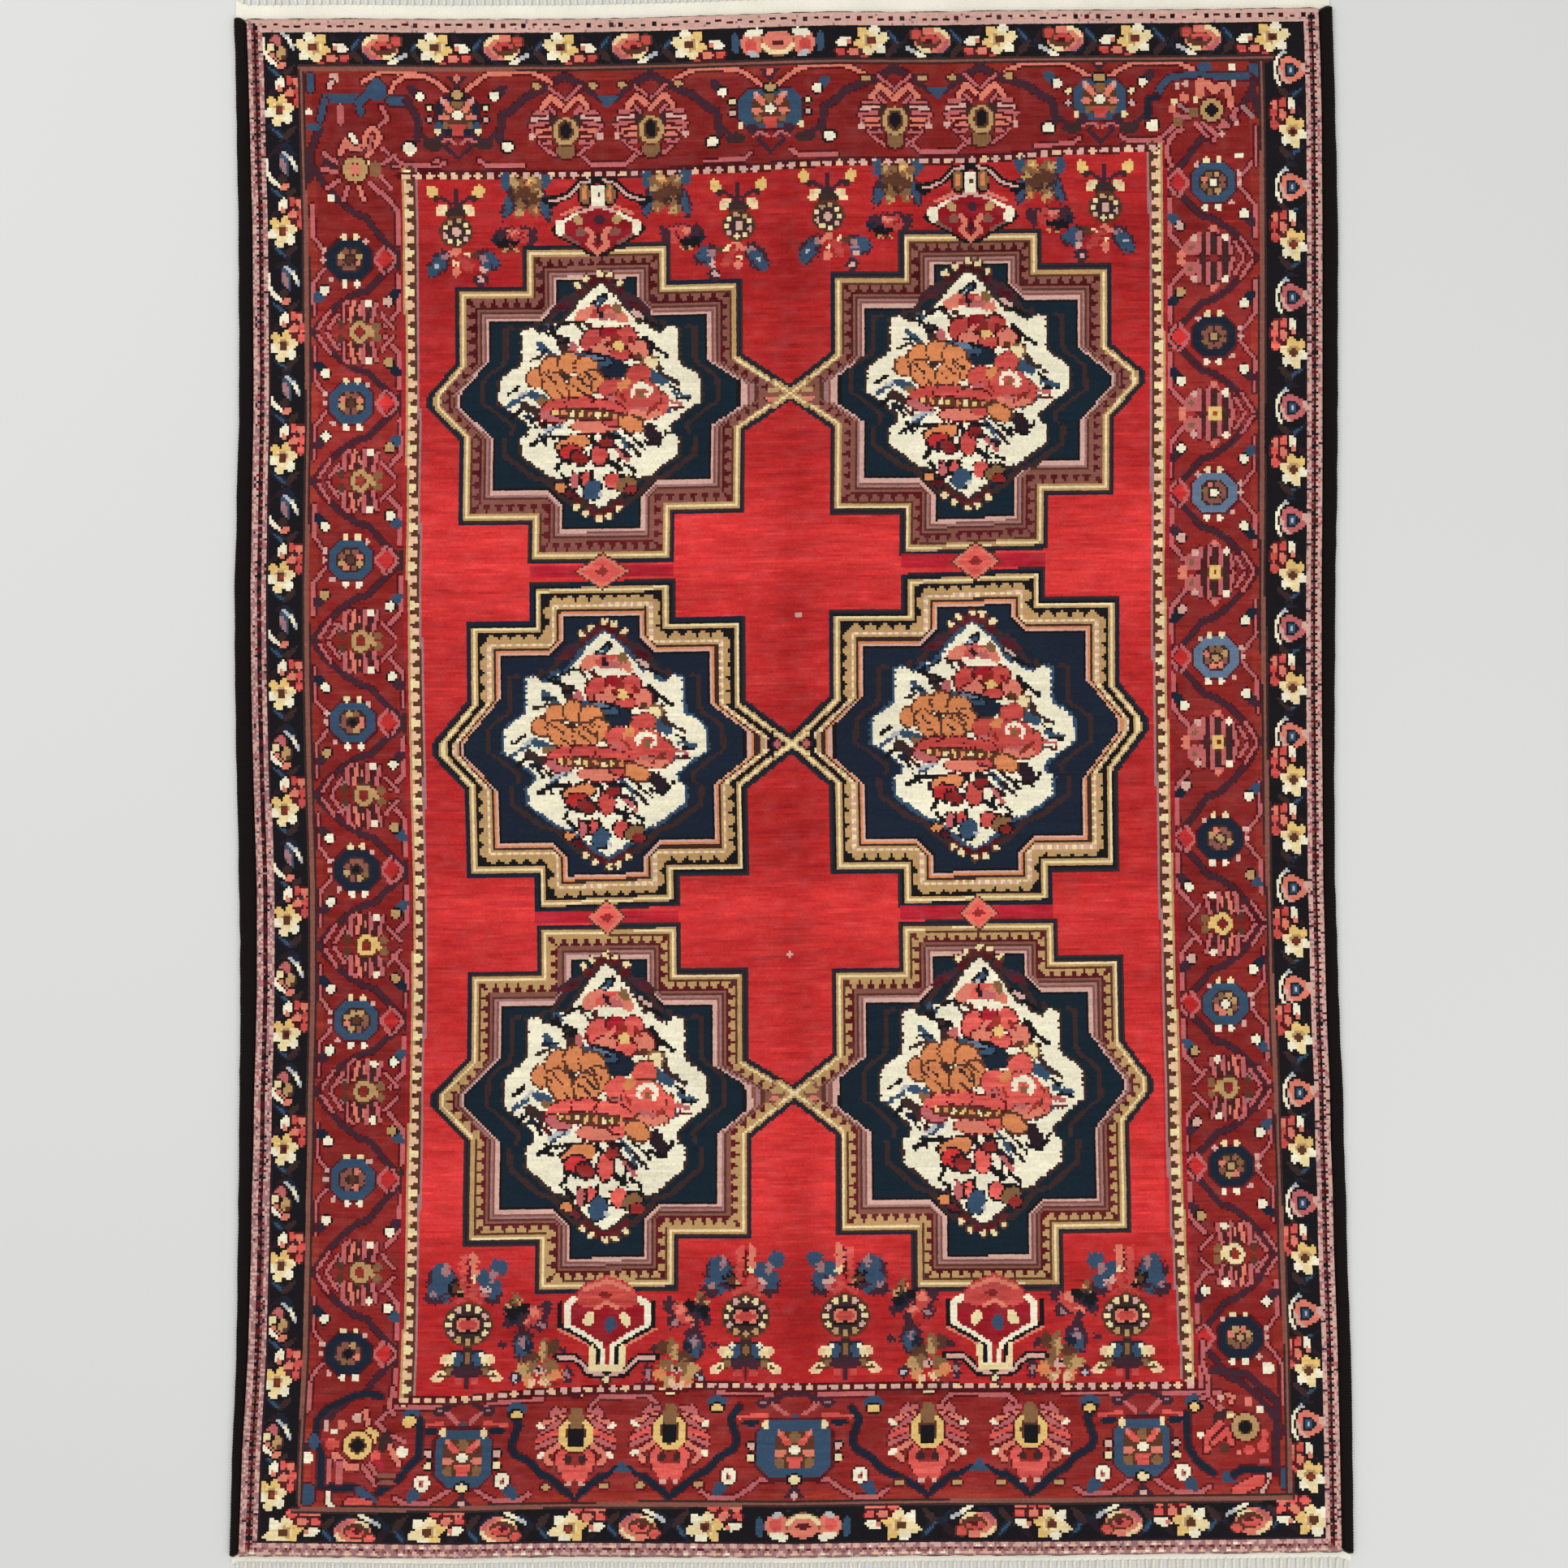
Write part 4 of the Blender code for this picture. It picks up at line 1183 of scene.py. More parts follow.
# Rows of teeth on a frame: (its kind, the band they follow, how deep, pitch, yarn, width, height)
TEETH = (
    ("toothed", 5.2, (9.0, 5.6, "camel", 5.6, 5.4)),
    ("toothed", 12.2, (10.6, 3.3, "cream", 2.0, 1.6)),
    ("top", 9.8, (7.4, 4.6, "clay")),
    ("bottom", 9.8, (7.4, 4.6, "camel")),
)


def paint_medallion(chart, medallion, draw):
    spot = Spot(chart, *medallion.centre, 92)
    outline = medallion_outline(medallion)
    toothed = medallion.toothed
    for yarn, deep in TOOTHED_BANDS if toothed else FRAME_BANDS:
        cut = min(max(deep - CUT_FROM, 0.0) * CUT_GROWTH, CUT_MOST)
        tip_cut = max(deep - TIP_CUT_FROM, 0.0) * CUT_GROWTH
        spot.shape(cut_corners(inset(outline, deep), cut, tip_cut), yarn)
        for kind, band, row_of_teeth in TEETH:
            if band == deep and (toothed if kind == "toothed" else kind in medallion.name):
                teeth(spot, outline, *row_of_teeth)
    # the heart lies a little off the frame's middle
    spot.x = spot.x - draw.uniform(-1.0, 1.0)
    spot.y = spot.y - draw.uniform(-1.0, 1.0)
    high = TALL_HEART if "bottom" in medallion.name else HEART
    spot.shape(heart_outline(high - 7, 8.6), "bark")
    spot.shape(heart_outline(high - 7, 6.4), "navy" if toothed else "night")
    spot.roughen(draw, 0.45)
    leaves = f"plum leaf 14x5/25: 16 {9 - high}; garnet leaf 9x2.4/25: 17 {10 - high}"
    spot.paint(leaves, BOTH)
    tip_dots(spot, high)
    spot.shape(heart_outline(high, 1.4), "slate" if toothed else "bark")
    spot.shape(heart_outline(high, 0.0), "ivory")
    spot.y = spot.y / (high / HEART)
    bouquet(spot, draw)


# Inside a crossing of two plain frames or of two toothed ones, on both sides of its middle
PLAIN_CROSSING = "clay shape: 0 0, 9 -6.6, 11 0, 9 6.6; camel 6x2.6: 7.6 -1.4; salmon 4.6x2.2: 8.6 2.4"
TOOTHED_CROSSING = """
    soot shape: 0 0, 9 -6.6, 11 0, 9 6.6; plum diamond 6x5: 6.4 0; rose diamond 3.6x3.4: 6.4 0
"""
# Where the tips of two medallions meet, their gold lines cross each other: (column, row, toothed)
CROSSINGS = ((239.0, 165.4, False), (240.0, 318.0, True), (239.0, 470.0, False))
# The small coral diamonds that part one medallion from the next in each column: (column, row,
# left and right end of the crimson ground, diamond's width, its height)
BRIDGES = (
    (156.3, 241.6, 124, 188, 23, 15),
    (322.0, 239.4, 289, 353, 21, 16),
    (156.2, 392.6, 124, 188, 16, 14.5),
    (321.8, 392.4, 287, 355, 16, 14.5),
)


def crossings(chart):
    for col, row, toothed in CROSSINGS:
        spot = Spot(chart, col, row, 14)
        spot.paint(TOOTHED_CROSSING if toothed else PLAIN_CROSSING, BOTH)
        for width, yarn in ((2.6 if toothed else 3.2, "camel"), (1.4 if toothed else 0.9, "cream")):
            spot.paint(f"both {yarn} {width}: 7 -4.7, -7 4.7")


def bridges(chart):
    for col, row, left, right, wide, high in BRIDGES:
        chart[int(row - 2.6) : int(row + 2.6), left:right] = YARN_NUMBER["crimson"]
        Spot(chart, col, row, 16).paint(
            f"""salmon diamond {wide}x{high} +umber .9; coral diamond {wide - 4}x{high - 3};
            madder diamond 6x4.6"""
        )


# ---- The small motifs at both ends of the field ----

# (column, row) and, where a motif has a front, whether it looks right (1) or left (-1)
FIELD_TOP = {
    "rings": ((90.8, 92.9, 1), (216.3, 91.9, -1), (256.1, 88.9, 1), (379.3, 85.9, -1)),
    "palmettes": ((153.8, 90), (319.6, 87)),
    "gold": ((122, 77, 1), (184.5, 76.5, -1), (287, 74, 1), (350.5, 73.5, -1)),
    "leaves": ((117.4, 94.8, 1), (191, 94.8, -1), (284, 91.8, 1), (354.4, 89.8, -1)),
}
FIELD_BOTTOM = {
    "rings": ((96, 570, 1), (217.5, 567, 1), (261, 567, -1), (384, 568, -1)),
    "palmettes": ((156.8, 566), (326.3, 566)),
    "gold": ((127.6, 590, 1), (187.2, 590, -1), (297.2, 588.3, 1), (354.6, 588.3, -1)),
    "leaves": ((124, 567, 1), (190, 566, -1), (293.6, 562, 1), (359.4, 562, -1)),
}
FIELD_SPECKS = ((243.5, 262), (237.5, 409.5))
EDGE_WANDER = 0.8
# A ringed flower's head and buds on both sides of its middle, then its leaves
TOP_HEAD = """
    plum 1.8: 2 -12, 6.4 -15; maize 6.4x4.8/-62: 10.2 -17.4; bark 3.4x2.6: 8.4 -14.4;
    cream 6.6x4/48: 6 -9.4; peach 3x2.4/48: 7 -10.4
"""
TOP_LEAVES = """
    plum 14.5x8.4/-54: -8 14.2; slate 12.4x5.6/-54: -8.4 14.6; fog 2x1.6: -8.8 15;
    mauve 4x2.2/20: -5 10.6; plum 12x7.4/35: 14.4 12.4; slate 8.4x4.8/35: 15.4 12;
    slate 4.4x6.4: 12.4 15; plum 6.4x5.4: 10.6 21; mauve 3x4: 12 12; blush 2.8x2.8: 12.2 16.4, 10.6 21;
    salmon 7x3.2/-30: -.4 9; coral 4x8/-25: 4.8 14.6; coral 3.6x3: 2 11.6; salmon 3.8x4.2: 0 17.2;
    umber 5.4x3: 8 10.2; cream 2.4x2.4: -.3 13.6, 5 9.6
"""
BOTTOM_HEAD = """
    navy 8.4x8.6: 4.2 -14.8; slate 5.4x6.4: 4.8 -14.8; cream 6.4x5/20: 8.8 -15.4;
    peach 3x3.4: 10.8 -15.2; ivory 2.8x2.2: 6 -12.6; umber 7x5.4/-30: 9 -20.4;
    bronze 4.4x3.4/-30: 8 -20.6; cream 7x4.2/-35: 12.4 -22.6; peach 3.2x2.8: 14 -23.6;
    umber 2.4x1.6: 11.4 -22.2; plum 7.4x4.6: 3.2 -20.6; coral 3.8x3.4: 3.4 -24.6
"""
BOTTOM_LEAVES = """
    plum 14x16/20: -11.4 18; plum 10x7: -14.6 11.8; slate 9.4x13/20: -11.2 20.4;
    slate 7.4x6.4: -14.2 15; mauve 3x6.4: -9.8 23.4; mauve 3.4x2.6: -15.4 13.4; slate 4x3: -10 11;
    soot 8.4x6/-35: -5.6 15.8; umber 5x3.4/-35: -6 16; camel 2.4x2: -3.8 15; plum 9x10: 10.4 13.6;
    slate 7.4x7.4: 13 24.6; slate 6.4x7.4: 6.6 20.4; slate 6.4x8.4/-20: 11 15.6;
    mauve 3.4x5.4: 10.6 21.2; blush 3x2.6: 5.8 15.6, 8.6 14.8; rose 3.6x3: 7 12.6;
    coral 3: -2.4 16, -2.2 29; salmon 3.2: 2.2 22, 2.4 30; garnet 1.3: 0 17, 0 29;
    cream 3.2x2.8: 2.4 20; coral 4.4x5.4: 2.4 15.4; coral 2.2: -4.8 10.4, 0 12.6, 4.8 10.4
"""
# The top palmette: a red lens with white points, its stem at -y between thin black wings
TOP_WINGS = """
    soot 3.4: 0 -19.4, 8 -18, 13 -13, 18 -11, 23 -10.6;
    blush 1.3: 3 -19.2, 8 -17.6, 13 -12.6, 18 -10.8, 21 -10.8; soot 2.6: 19 -9, 21 -8.6;
    salmon 1.6: 6 -8.6, 15.6 -4.4; soot 7x11: 5.4 -13; bronze 4.8x9.4: 5.6 -13.2;
    apricot 2.2x6.4: 5.6 -13.6
"""
TOP_POINTS = """
    ivory 1.7: 9 -5, 16.6 -.6; ivory 4.4x7.4/12: 17 1.6; blush 1.5: 0 -7.8, 9 -5.2;
    clay 1.6: 15 4.8, 9 8.2; camel 4.8x3.6/-30: 8.6 -2; clay 5x4: 7.6 3.4;
    salmon 2.4: 4.6 1.8, 2.2 5.4, 4.4 8.4, 0 12.4
"""
TOP_MIDDLE = """
    plum 4.6x4.4: .6 -2; garnet diamond 3.4x7: 0 6.4; ivory block 5.4x9.4: 0 -12.6;
    umber 1.6x1.8: .4 -13
"""
LENS_HALF = ((0, -8.2), (8, -5.6), (17.5, -0.6), (19.6, 2.0), (17.5, 4.6), (8.6, 9.0), (3.4, 12.6))
# The bottom palmette: a coral dome between white uprights that run down to a striped vase at -y
BOTTOM_WINGS = """
    soot 3.8: 0 -27, 8 -25.6, 11 -21.6, 14.6 -18.8, 21.6 -18.6;
    blush 1.5: 0 -26.6, 7.6 -25.4, 10.6 -21.8, 14.2 -19, 21 -18.8; salmon 1.6: 21 -6.4, 10 -12, 6.4 -14;
    soot 2: 20.4 5, 20.6 -4.8, 10 -10.6, 4.2 -14.6, 4.2 -21
"""
BOTTOM_DOME = """
    coral shape: 0 17, 10 13, 15.4 5.4, 8 2.4, 0 5, -8 2.4, -15.4 5.4, -10 13;
    salmon 2: -9.6 11, 0 14.6, 9.6 11; madder diamond 6.4x4: -1 8.4
"""
BOTTOM_UPRIGHTS = """
    ivory 3: 14.6 6.4, 17.6 4, 17.6 -4.4; ivory 2: 17.6 -4.6, 9.6 -9, 2.4 -13.6, 1.8 -22;
    cream 2.6: 6.6 -14.6, 6.4 -23.4; cream 2.6: 0 -23.8, 6.4 -23.6; cream 4.4x7/24: 8 -2.2;
    salmon 1.8: 4.6 2.6, 0 5.4
"""
DOME_HALF = [(0, 17), (9.6, 13.6), (16.6, 6), (17.4, -4.6), (9.6, -9.2), (2.6, -13.8)]
TOP_GOLD_FLOWER = """
    plum 15x5.4/72: 7.4 3.4; slate 11x3.4/72: 7.6 4.4; slate 5x7: 8.2 -6; plum 15x5.4/-72: -7.4 3.4;
    slate 11x3.4/-72: -7.6 4.4; slate 5x7: -8.2 -6; umber 13x12; bronze 7x6/30: 4 -4.4, -3.4 -4.6;
    bronze 8x4.4/70: 3.4 5; bronze 8x4.4/-70: -3 5.4; camel 4.4x2.4/50: -5 -5.4, 3 -7, 5.4 -1.4;
    umber 6.4x2.6/-50: -3 -1.6, 3.4 1.6; apricot 3x1.8/20: 1.6 -4.6, 4.6 6.6; maize 2.4x1.8: 2.4 -5.6;
    bark 4.4x2/35: -.6 3, -5.4 2; camel 4.4x2.4/50: -2.6 7.6
"""
BOTTOM_GOLD_FLOWER = """
    plum 3.4: -8.4 20, -7.4 13; plum 9.4x14: -7 10.4; slate 6.6x9: -7 9.4; navy 3.6x6: -4.6 9;
    mauve 2.4x4.4: -7.4 11.4; umber 7x5.6: -3.4 5; umber 5x6.4: 5.6 9.4; bronze 4.8x10.4: 1.4 8;
    camel 2.4x8: .8 7.4; bronze 9x6: -4 .8; camel 5.4x4.6: -7 .2; bronze 7x6: 4.6 1;
    apricot 5.4x5: 6.6 -2; camel 5x6/25: -4.4 -4.6; apricot 3x4.4/25: -4.4 -5.4;
    camel 6x4.6/-20: 2.6 -5; peach 3.2x3.2: 1.8 -5.6, -2.8 -6; brick 4x3: 6.6 -6.4; blush 4.2x3.6;
    soot 1.6x1.4; plum 4.6x5.2: -10.2 -3.4; fog 2x2.6: -10.2 -3.4; plum 4x8.4: 11.6 -2.2;
    mauve 2.2x4.4: 11.6 -2.2; plum 3.6x3: 9.4 8.4, -15.6 10.6
"""
TOP_PINK_LEAF = """
    plum 7x7.4: -7 0; plum 15x7.4: .4 -.6; plum 4x8/15: 7.4 .4; navy 4x3.4: -8.8 1.6;
    soot 6.4x4.6: -5.6 3.4; soot 4x3: -.6 3; coral 9.4x5.4: .6 -.8; coral 4.4x4.4: 3.4 1.4;
    salmon 4.4x2.6: -1.6 -1.4; crimson 3x2: 2.2 -.2; camel 2.4x2.2: -4.4 6.4, -.4 6.2; bark 2x2: -2.4 6
"""
BOTTOM_PINK_LEAF = """
    plum 15x9/25; plum 5x5: -10.4 -2.4; navy 7x8: -8.6 1.6; soot 5x5.6: -9 1.6; soot 6x5/30: -3.2 3.8;
    plum 4.4x6.4: 6.4 4.4; plum 5.6x5.4: 4.2 -3.6; coral 6.4x7: 1.4 1.6; salmon 4.4x3.6: .8 2.4;
    coral 9.4x4.6/25: -2.4 -2.6; salmon 5x2.4/25: -3.4 -2.4; mauve 3.2x2.8: 3.6 -3.8;
    umber 6x4.4/30: -8 6.4; camel 2.6x2.6: -6.4 7, -10.4 5.2; bronze 2.8x4: -7.4 8.4
"""


def ring_of_dots(spot, wide, high, dots, reach, dot):
    spot.stamp("oval", 0, 0, wide, high, "umber")
    spot.stamp("oval", 0, 0, wide - 2.4, high - 2.4, "bark")
    for step in range(dots):
        angle = 2 * math.pi * step / dots
        yarn = "camel" if math.sin(angle) < -0.8 else ("cream", "blush", "cream")[step % 3]
        x, y = wide * reach * math.cos(angle), high * reach * math.sin(angle)
        spot.stamp("oval", x, y, dot, dot, yarn)


def ringed_flower(spot, big, draw):
    """A dark ring of dots with a head, two buds and a leafy coral flower; head at -y."""
    spot.line([(0, -8), (0, -27 if big else -18)], 1.8, "plum")
    spot.paint(BOTTOM_HEAD if big else TOP_HEAD, BOTH)
    x, y = spot.x, spot.y
    spot.roughen(draw, EDGE_WANDER)
    spot.paint(BOTTOM_LEAVES if big else TOP_LEAVES)
    spot.x, spot.y = x, y
    if big:
        spot.paint("bark block 4.4x9: 0 -14.6; bronze 2.4x5.4: 0 -14.4")
        ring_of_dots(spot, 21.6, 19.4, 12, 0.385, 2.7)
        spot.paint("soot block 10.4x8: 0 .4; both salmon 4.8x6.8: 2.8 0; coral 8.4x4.2")
    else:
        spot.paint("bark 9x6.6: 0 -8")
        ring_of_dots(spot, 15, 13.8, 9, 0.345, 2.3)
        spot.paint("blush 3.6x4.4")


def top_palmette(spot):
    spot.paint(TOP_WINGS, BOTH)
    for grow, yarn in ((1.09, "soot"), (0.98, "crimson")):
        spot.shape(mirrored([(x * grow, y * grow) for x, y in LENS_HALF]), yarn)
    spot.paint(TOP_POINTS, BOTH)
    spot.paint(TOP_MIDDLE)


def bottom_palmette(spot):
    spot.paint(BOTTOM_WINGS, BOTH)
    spot.shape(mirrored(DOME_HALF), "crimson")
    spot.paint(BOTTOM_DOME)
    spot.paint(BOTTOM_UPRIGHTS, BOTH)
    spot.paint("slate 5x7: 1.4 -4.4; cream 2.8x2.6 +bark: 0 -28.6")


def rough_flower(spot, parts, draw):
    """A leaf or flower whose edges wander a little from knot to knot."""
    spot.roughen(draw, EDGE_WANDER)
    spot.paint(parts)


def field_ends(chart, draw):
    for places, down, leaf, flower, palmette in (
        (FIELD_TOP, 1, TOP_PINK_LEAF, TOP_GOLD_FLOWER, top_palmette),
        (FIELD_BOTTOM, -1, BOTTOM_PINK_LEAF, BOTTOM_GOLD_FLOWER, bottom_palmette),
    ):
        for col, row, right in places["leaves"]:
            rough_flower(Spot(chart, col, row, 22, (right, 0), (0, down)), leaf, draw)
        for col, row, right in places["rings"]:
            ringed_flower(Spot(chart, col, row, 36, (right, 0), (0, down)), down < 0, draw)
        for col, row, right in places["gold"]:
            rough_flower(Spot(chart, col, row, 26, (right, 0), (0, down), 1.05), flower, draw)
        for col, row in places["palmettes"]:
            palmette(Spot(chart, col, row, 34, (1, 0), (0, down)))
    for col, row in FIELD_SPECKS:
        Spot(chart, col, row, 4).paint("blush 2.6x2.6")


@functools.lru_cache(maxsize=None)
def weave():
    """The whole chart, from the outer border to the field's ends."""
    chart = np.full((KNOT_ROWS, KNOT_COLUMNS), YARN_NUMBER["soot"], np.uint8)
    draw = random.Random("weaver")
    outer_border(chart, draw)
    guard(chart, draw)
    paint_between(chart, PARTING, 0, "brick")
    paint_between(chart, PARTING, 5, "madder")
    main_border(chart, draw)
    partings(chart)
    paint_between(chart, BEADS, -2.4, "garnet")
    paint_between(chart, BEADS, 1.5, "field")
    inner_guard(chart)
    for medallion in MEDALLIONS:
        paint_medallion(chart, medallion, draw)
    crossings(chart)
    bridges(chart)
    field_ends(chart, draw)
    return chart


# ---- Laying the rug out ----

RIM_TURNS = (0, 30, 60)
LOOM_SECTIONS = 4
# The share of its seen colour that a yarn sends back
WOOL_WHITENESS = 0.80
COTTON_WHITENESS = 0.88
# How far out an end slants past the pile's corners, for each metre across
END_SLANT = 0.37
JOIN_GAP = 0.0003
# Which way along its own axis each end and side faces
OUTWARDS = {"top": 1, "bottom": -1, "left": -1, "right": 1}


def node_points(node, highest=1.0):
    """A CAD node's separate points up to a height, from the rug's bottom end to its top end."""
    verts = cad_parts[node].data.vertices
    points = {tuple(round(value, 5) for value in vert.co) for vert in verts}
    return np.array(sorted((p for p in points if p[2] < highest), key=lambda point: point[1]))


def pile_outline():
    """The CAD pile's four floor-level lines."""
    points = node_points("rug_pile", 0.001)
    low, high = points.min(axis=0), points.max(axis=0)
    middle, reach = (low + high) / 2, (high - low) / 2 * 0.95
    lines = {
        "left": points[points[:, 0] < middle[0] - reach[0]],
        "right": points[points[:, 0] > middle[0] + reach[0]],
        "bottom": points[points[:, 1] < middle[1] - reach[1]],
        "top": points[points[:, 1] > middle[1] + reach[1]],
    }
    for end in ("bottom", "top"):
        lines[end] = lines[end][lines[end][:, 0].argsort()]
    return lines


OUTLINE = pile_outline()


def side_place(side, down):
    """A place on the pile's left or right side, 0 at its top end and 1 at its bottom end."""
    line = OUTLINE[side]
    y = line[-1, 1] + down * (line[0, 1] - line[-1, 1])
    return np.interp(y, line[:, 1], line[:, 0]), y


def laid_out(across, down):
    """Where places on the pile are. They run from 0 to 1 across it from its left side, and from
    0 to 1 down it from its top end."""
    left, right = side_place("left", down)[0], side_place("right", down)[0]
    ends = []
    for end, at in (("top", 0.0), ("bottom", 1.0)):
        low, high = side_place("left", at)[0], side_place("right", at)[0]
        ends.append(np.interp(low + across * (high - low), OUTLINE[end][:, 0], OUTLINE[end][:, 1]))
    x = left + across * (right - left)
    y = ends[0] + down * (ends[1] - ends[0])
    return np.stack(np.broadcast_arrays(x, y), axis=-1)


def end_line(end, x):
    """How far along the rug the pile ends, at places across it and over its side cords."""
    line = OUTLINE[end]
    past = np.maximum(np.maximum(line[0, 0] - x, x - line[-1, 0]), 0)
    return np.interp(x, line[:, 0], line[:, 1]) + OUTWARDS[end] * END_SLANT * past


def wandering(draw, places, reach, step):
    """A smooth seeded wander either side of nothing, at rising places."""
    marks = np.arange(places.min() - step, places.max() + 2 * step, step)
    return np.interp(places, marks, draw.uniform(-reach, reach, len(marks)))


# ---- Making meshes ----

# Points nearer than this become one, and edges sharper than this many degrees stay sharp
MELT_REACH = 2e-6
SHARP_ANGLE = 52


@contextlib.contextmanager
def editing(mesh):
    """Opens a mesh for mesh operators, and writes it back after them."""
    builder = bmesh.new()
    builder.from_mesh(mesh)
    yield builder
    builder.to_mesh(mesh)
    builder.free()


def flat_grids(name, columns, rows, count=1):
    """Flat grids side by side, each to be shaped into one surface.

    Gives the mesh, each vertex's grid, and how far across and down that grid it is (0 to 1)."""
    mesh = bpy.data.meshes.new(name)
    with editing(mesh) as builder:
        for number in range(count):
            place = Matrix.Translation((2.0 * number + 0.5, 0.5, 0.0))
            bmesh.ops.create_grid(builder, x_segments=columns, y_segments=rows, size=0.5, matrix=place)
    flat = read_points(mesh.vertices, "co")
    number = np.floor(flat[:, 0] / 2 + 1e-4).astype(int)
    across, down = flat[:, 0] - 2 * number, 1 - flat[:, 1]
    corners = np.empty(len(mesh.loops), np.int32)
    mesh.loops.foreach_get("vertex_index", corners)
    spread = np.column_stack(((number + across)[corners] / count, 1 - down[corners]))
    uv_map = mesh.uv_layers.new(name="OFBake")
    uv_map.uv.foreach_set("vector", spread.astype(np.float32).ravel())
    return mesh, number, across, down


def read_points(items, what):
    values = np.empty(len(items) * 3, np.float32)
    items.foreach_get(what, values)
    return values.reshape(-1, 3).astype(float)


def face_knots(mesh, columns, rows):
    """The column and row of a flat grid that each of its faces is in, from the top left."""
    centres = read_points(mesh.polygons, "center")
    return (centres[:, 0] * columns).astype(int), ((1 - centres[:, 1]) * rows).astype(int)


def move_points(mesh, *points):
    mesh.vertices.foreach_set("co", np.column_stack(points).astype(np.float32).ravel())
    mesh.update()


def colour_faces(mesh, colours):
    """Gives each face its own yarn colour, as an attribute that the materials read."""
    layer = mesh.attributes.new("yarn", "FLOAT_COLOR", "FACE")
    values = np.column_stack((colours, np.ones(len(colours))))
    layer.data.foreach_set("color", values.astype(np.float32).ravel())


def drawn_out(builder, edges, height):
    """Walls from open edges down or up to a height."""
    for item in bmesh.ops.extrude_edge_only(builder, edges=edges)["geom"]:
        if isinstance(item, bmesh.types.BMVert):
            item.co.z = height


def close_up(mesh, drop_seams_to=None):
    """Joins rolled-up edges and caps what is still open. A seam's edge first drops to a height."""
    with editing(mesh) as builder:
        bmesh.ops.remove_doubles(builder, verts=builder.verts, dist=MELT_REACH)
        if drop_seams_to is not None:
            seams = [
                edge
                for edge in builder.edges
                if edge.is_boundary and max(vert.co.z for vert in edge.verts) > drop_seams_to + 1e-5
            ]
            drawn_out(builder, seams, drop_seams_to)
            bmesh.ops.remove_doubles(builder, verts=builder.verts, dist=MELT_REACH)
        open_edges = [edge for edge in builder.edges if edge.is_boundary]
        bmesh.ops.holes_fill(builder, edges=open_edges, sides=0)
        bmesh.ops.recalc_face_normals(builder, faces=builder.faces)


def add_piece(mesh, material, replaced):
    """Puts a finished mesh in the scene as a piece of the rug."""
    mesh.materials.append(material)
    mesh.shade_smooth()
    mesh.set_sharp_from_angle(angle=math.radians(SHARP_ANGLE))
    piece = bpy.data.objects.new(mesh.name, mesh)
    bpy.context.scene.collection.objects.link(piece)
    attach(piece, "root")
    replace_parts(piece, replaced)
    return piece


# ---- Materials ----

YARN_SOCKETS = ("Fibre Scale", "Fibre Amount", "Cloud Scale", "Cloud Amount")
WEAVE_SOCKETS = ("Across Scale", "Along Scale")
WEAVE_RELIEF = 2.0
# A cloth's yarn and weave are the values of those sockets. Its sheen is (weight, roughness), its
# bump (strength, depth), and `along` scales a pattern that runs along the piece.
Finish = namedtuple("Finish", "yarn sheen bump weave along", defaults=(None, None))
FINISHES = {
    "wool_pile_cut": Finish((620.0, 0.55, 7.0, 0.16), (0.04, 0.5), (0.55, 0.0006)),
    "wool_back_knots": Finish((500.0, 0.5, 6.0, 0.12), (0.05, 0.6), (0.7, 0.0006), (98.0, 98.0)),
    "goat_hair_wrap": Finish((6.0, 1.2, 0.6, 0.5), (0.10, 0.4), (0.6, 0.0005), along=(3.0, 900.0, 1.0)),
    "cotton_strip_weave": Finish((700.0, 0.35, 14.0, 0.30), (0.08, 0.5), (0.5, 0.0004), (98.0, 104.0)),
    "cotton_fringe_yarn": Finish((1100.0, 0.35, 20.0, 0.30), (0.08, 0.5), (0.5, 0.0003)),
    # the dark twined yarn is partly painted shade along the pile's ends
    "dark_twined_yarn": Finish((900.0, 1.0, 30.0, 0.5), (0.10, 0.4), (0.6, 0.0004)),
}


def linear(colours):
    """Seen colours (0 to 1) as the light that they send back."""
    colours = np.asarray(colours, float)
    return np.where(colours <= 0.04045, colours / 12.92, ((colours + 0.055) / 1.055) ** 2.4)


def plain_colour(name, whiteness=WOOL_WHITENESS):
    """One of the rug's colours as linear light."""
    return linear(list(getattr(bpy.context.scene.rug_colours, name))) * whiteness


def add_node(tree, kind, inputs=None, **settings):
    """A node with its settings made and its inputs set or linked."""
    made = tree.nodes.new("ShaderNode" + kind)
    for name, value in settings.items():
        setattr(made, name, value)
    for name, value in (inputs or {}).items():
        if isinstance(value, bpy.types.NodeSocket):
            tree.links.new(value, made.inputs[name])
        else:
            made.inputs[name].default_value = value
    return made


def calculate(tree, operation, *values):
    """A math node's result."""
    return add_node(tree, "Math", dict(enumerate(values)), operation=operation).outputs[0]


def new_group(name, inputs, outputs):
    """An empty shader group with its sockets, and its two end nodes' sockets."""
    group = bpy.data.node_groups.new(name, "ShaderNodeTree")
    for sockets, way in ((inputs, "INPUT"), (outputs, "OUTPUT")):
        for label, kind in sockets.items():
            group.interface.new_socket(label, in_out=way, socket_type="NodeSocket" + kind)
    start, end = group.nodes.new("NodeGroupInput"), group.nodes.new("NodeGroupOutput")
    return group, start.outputs, end.inputs


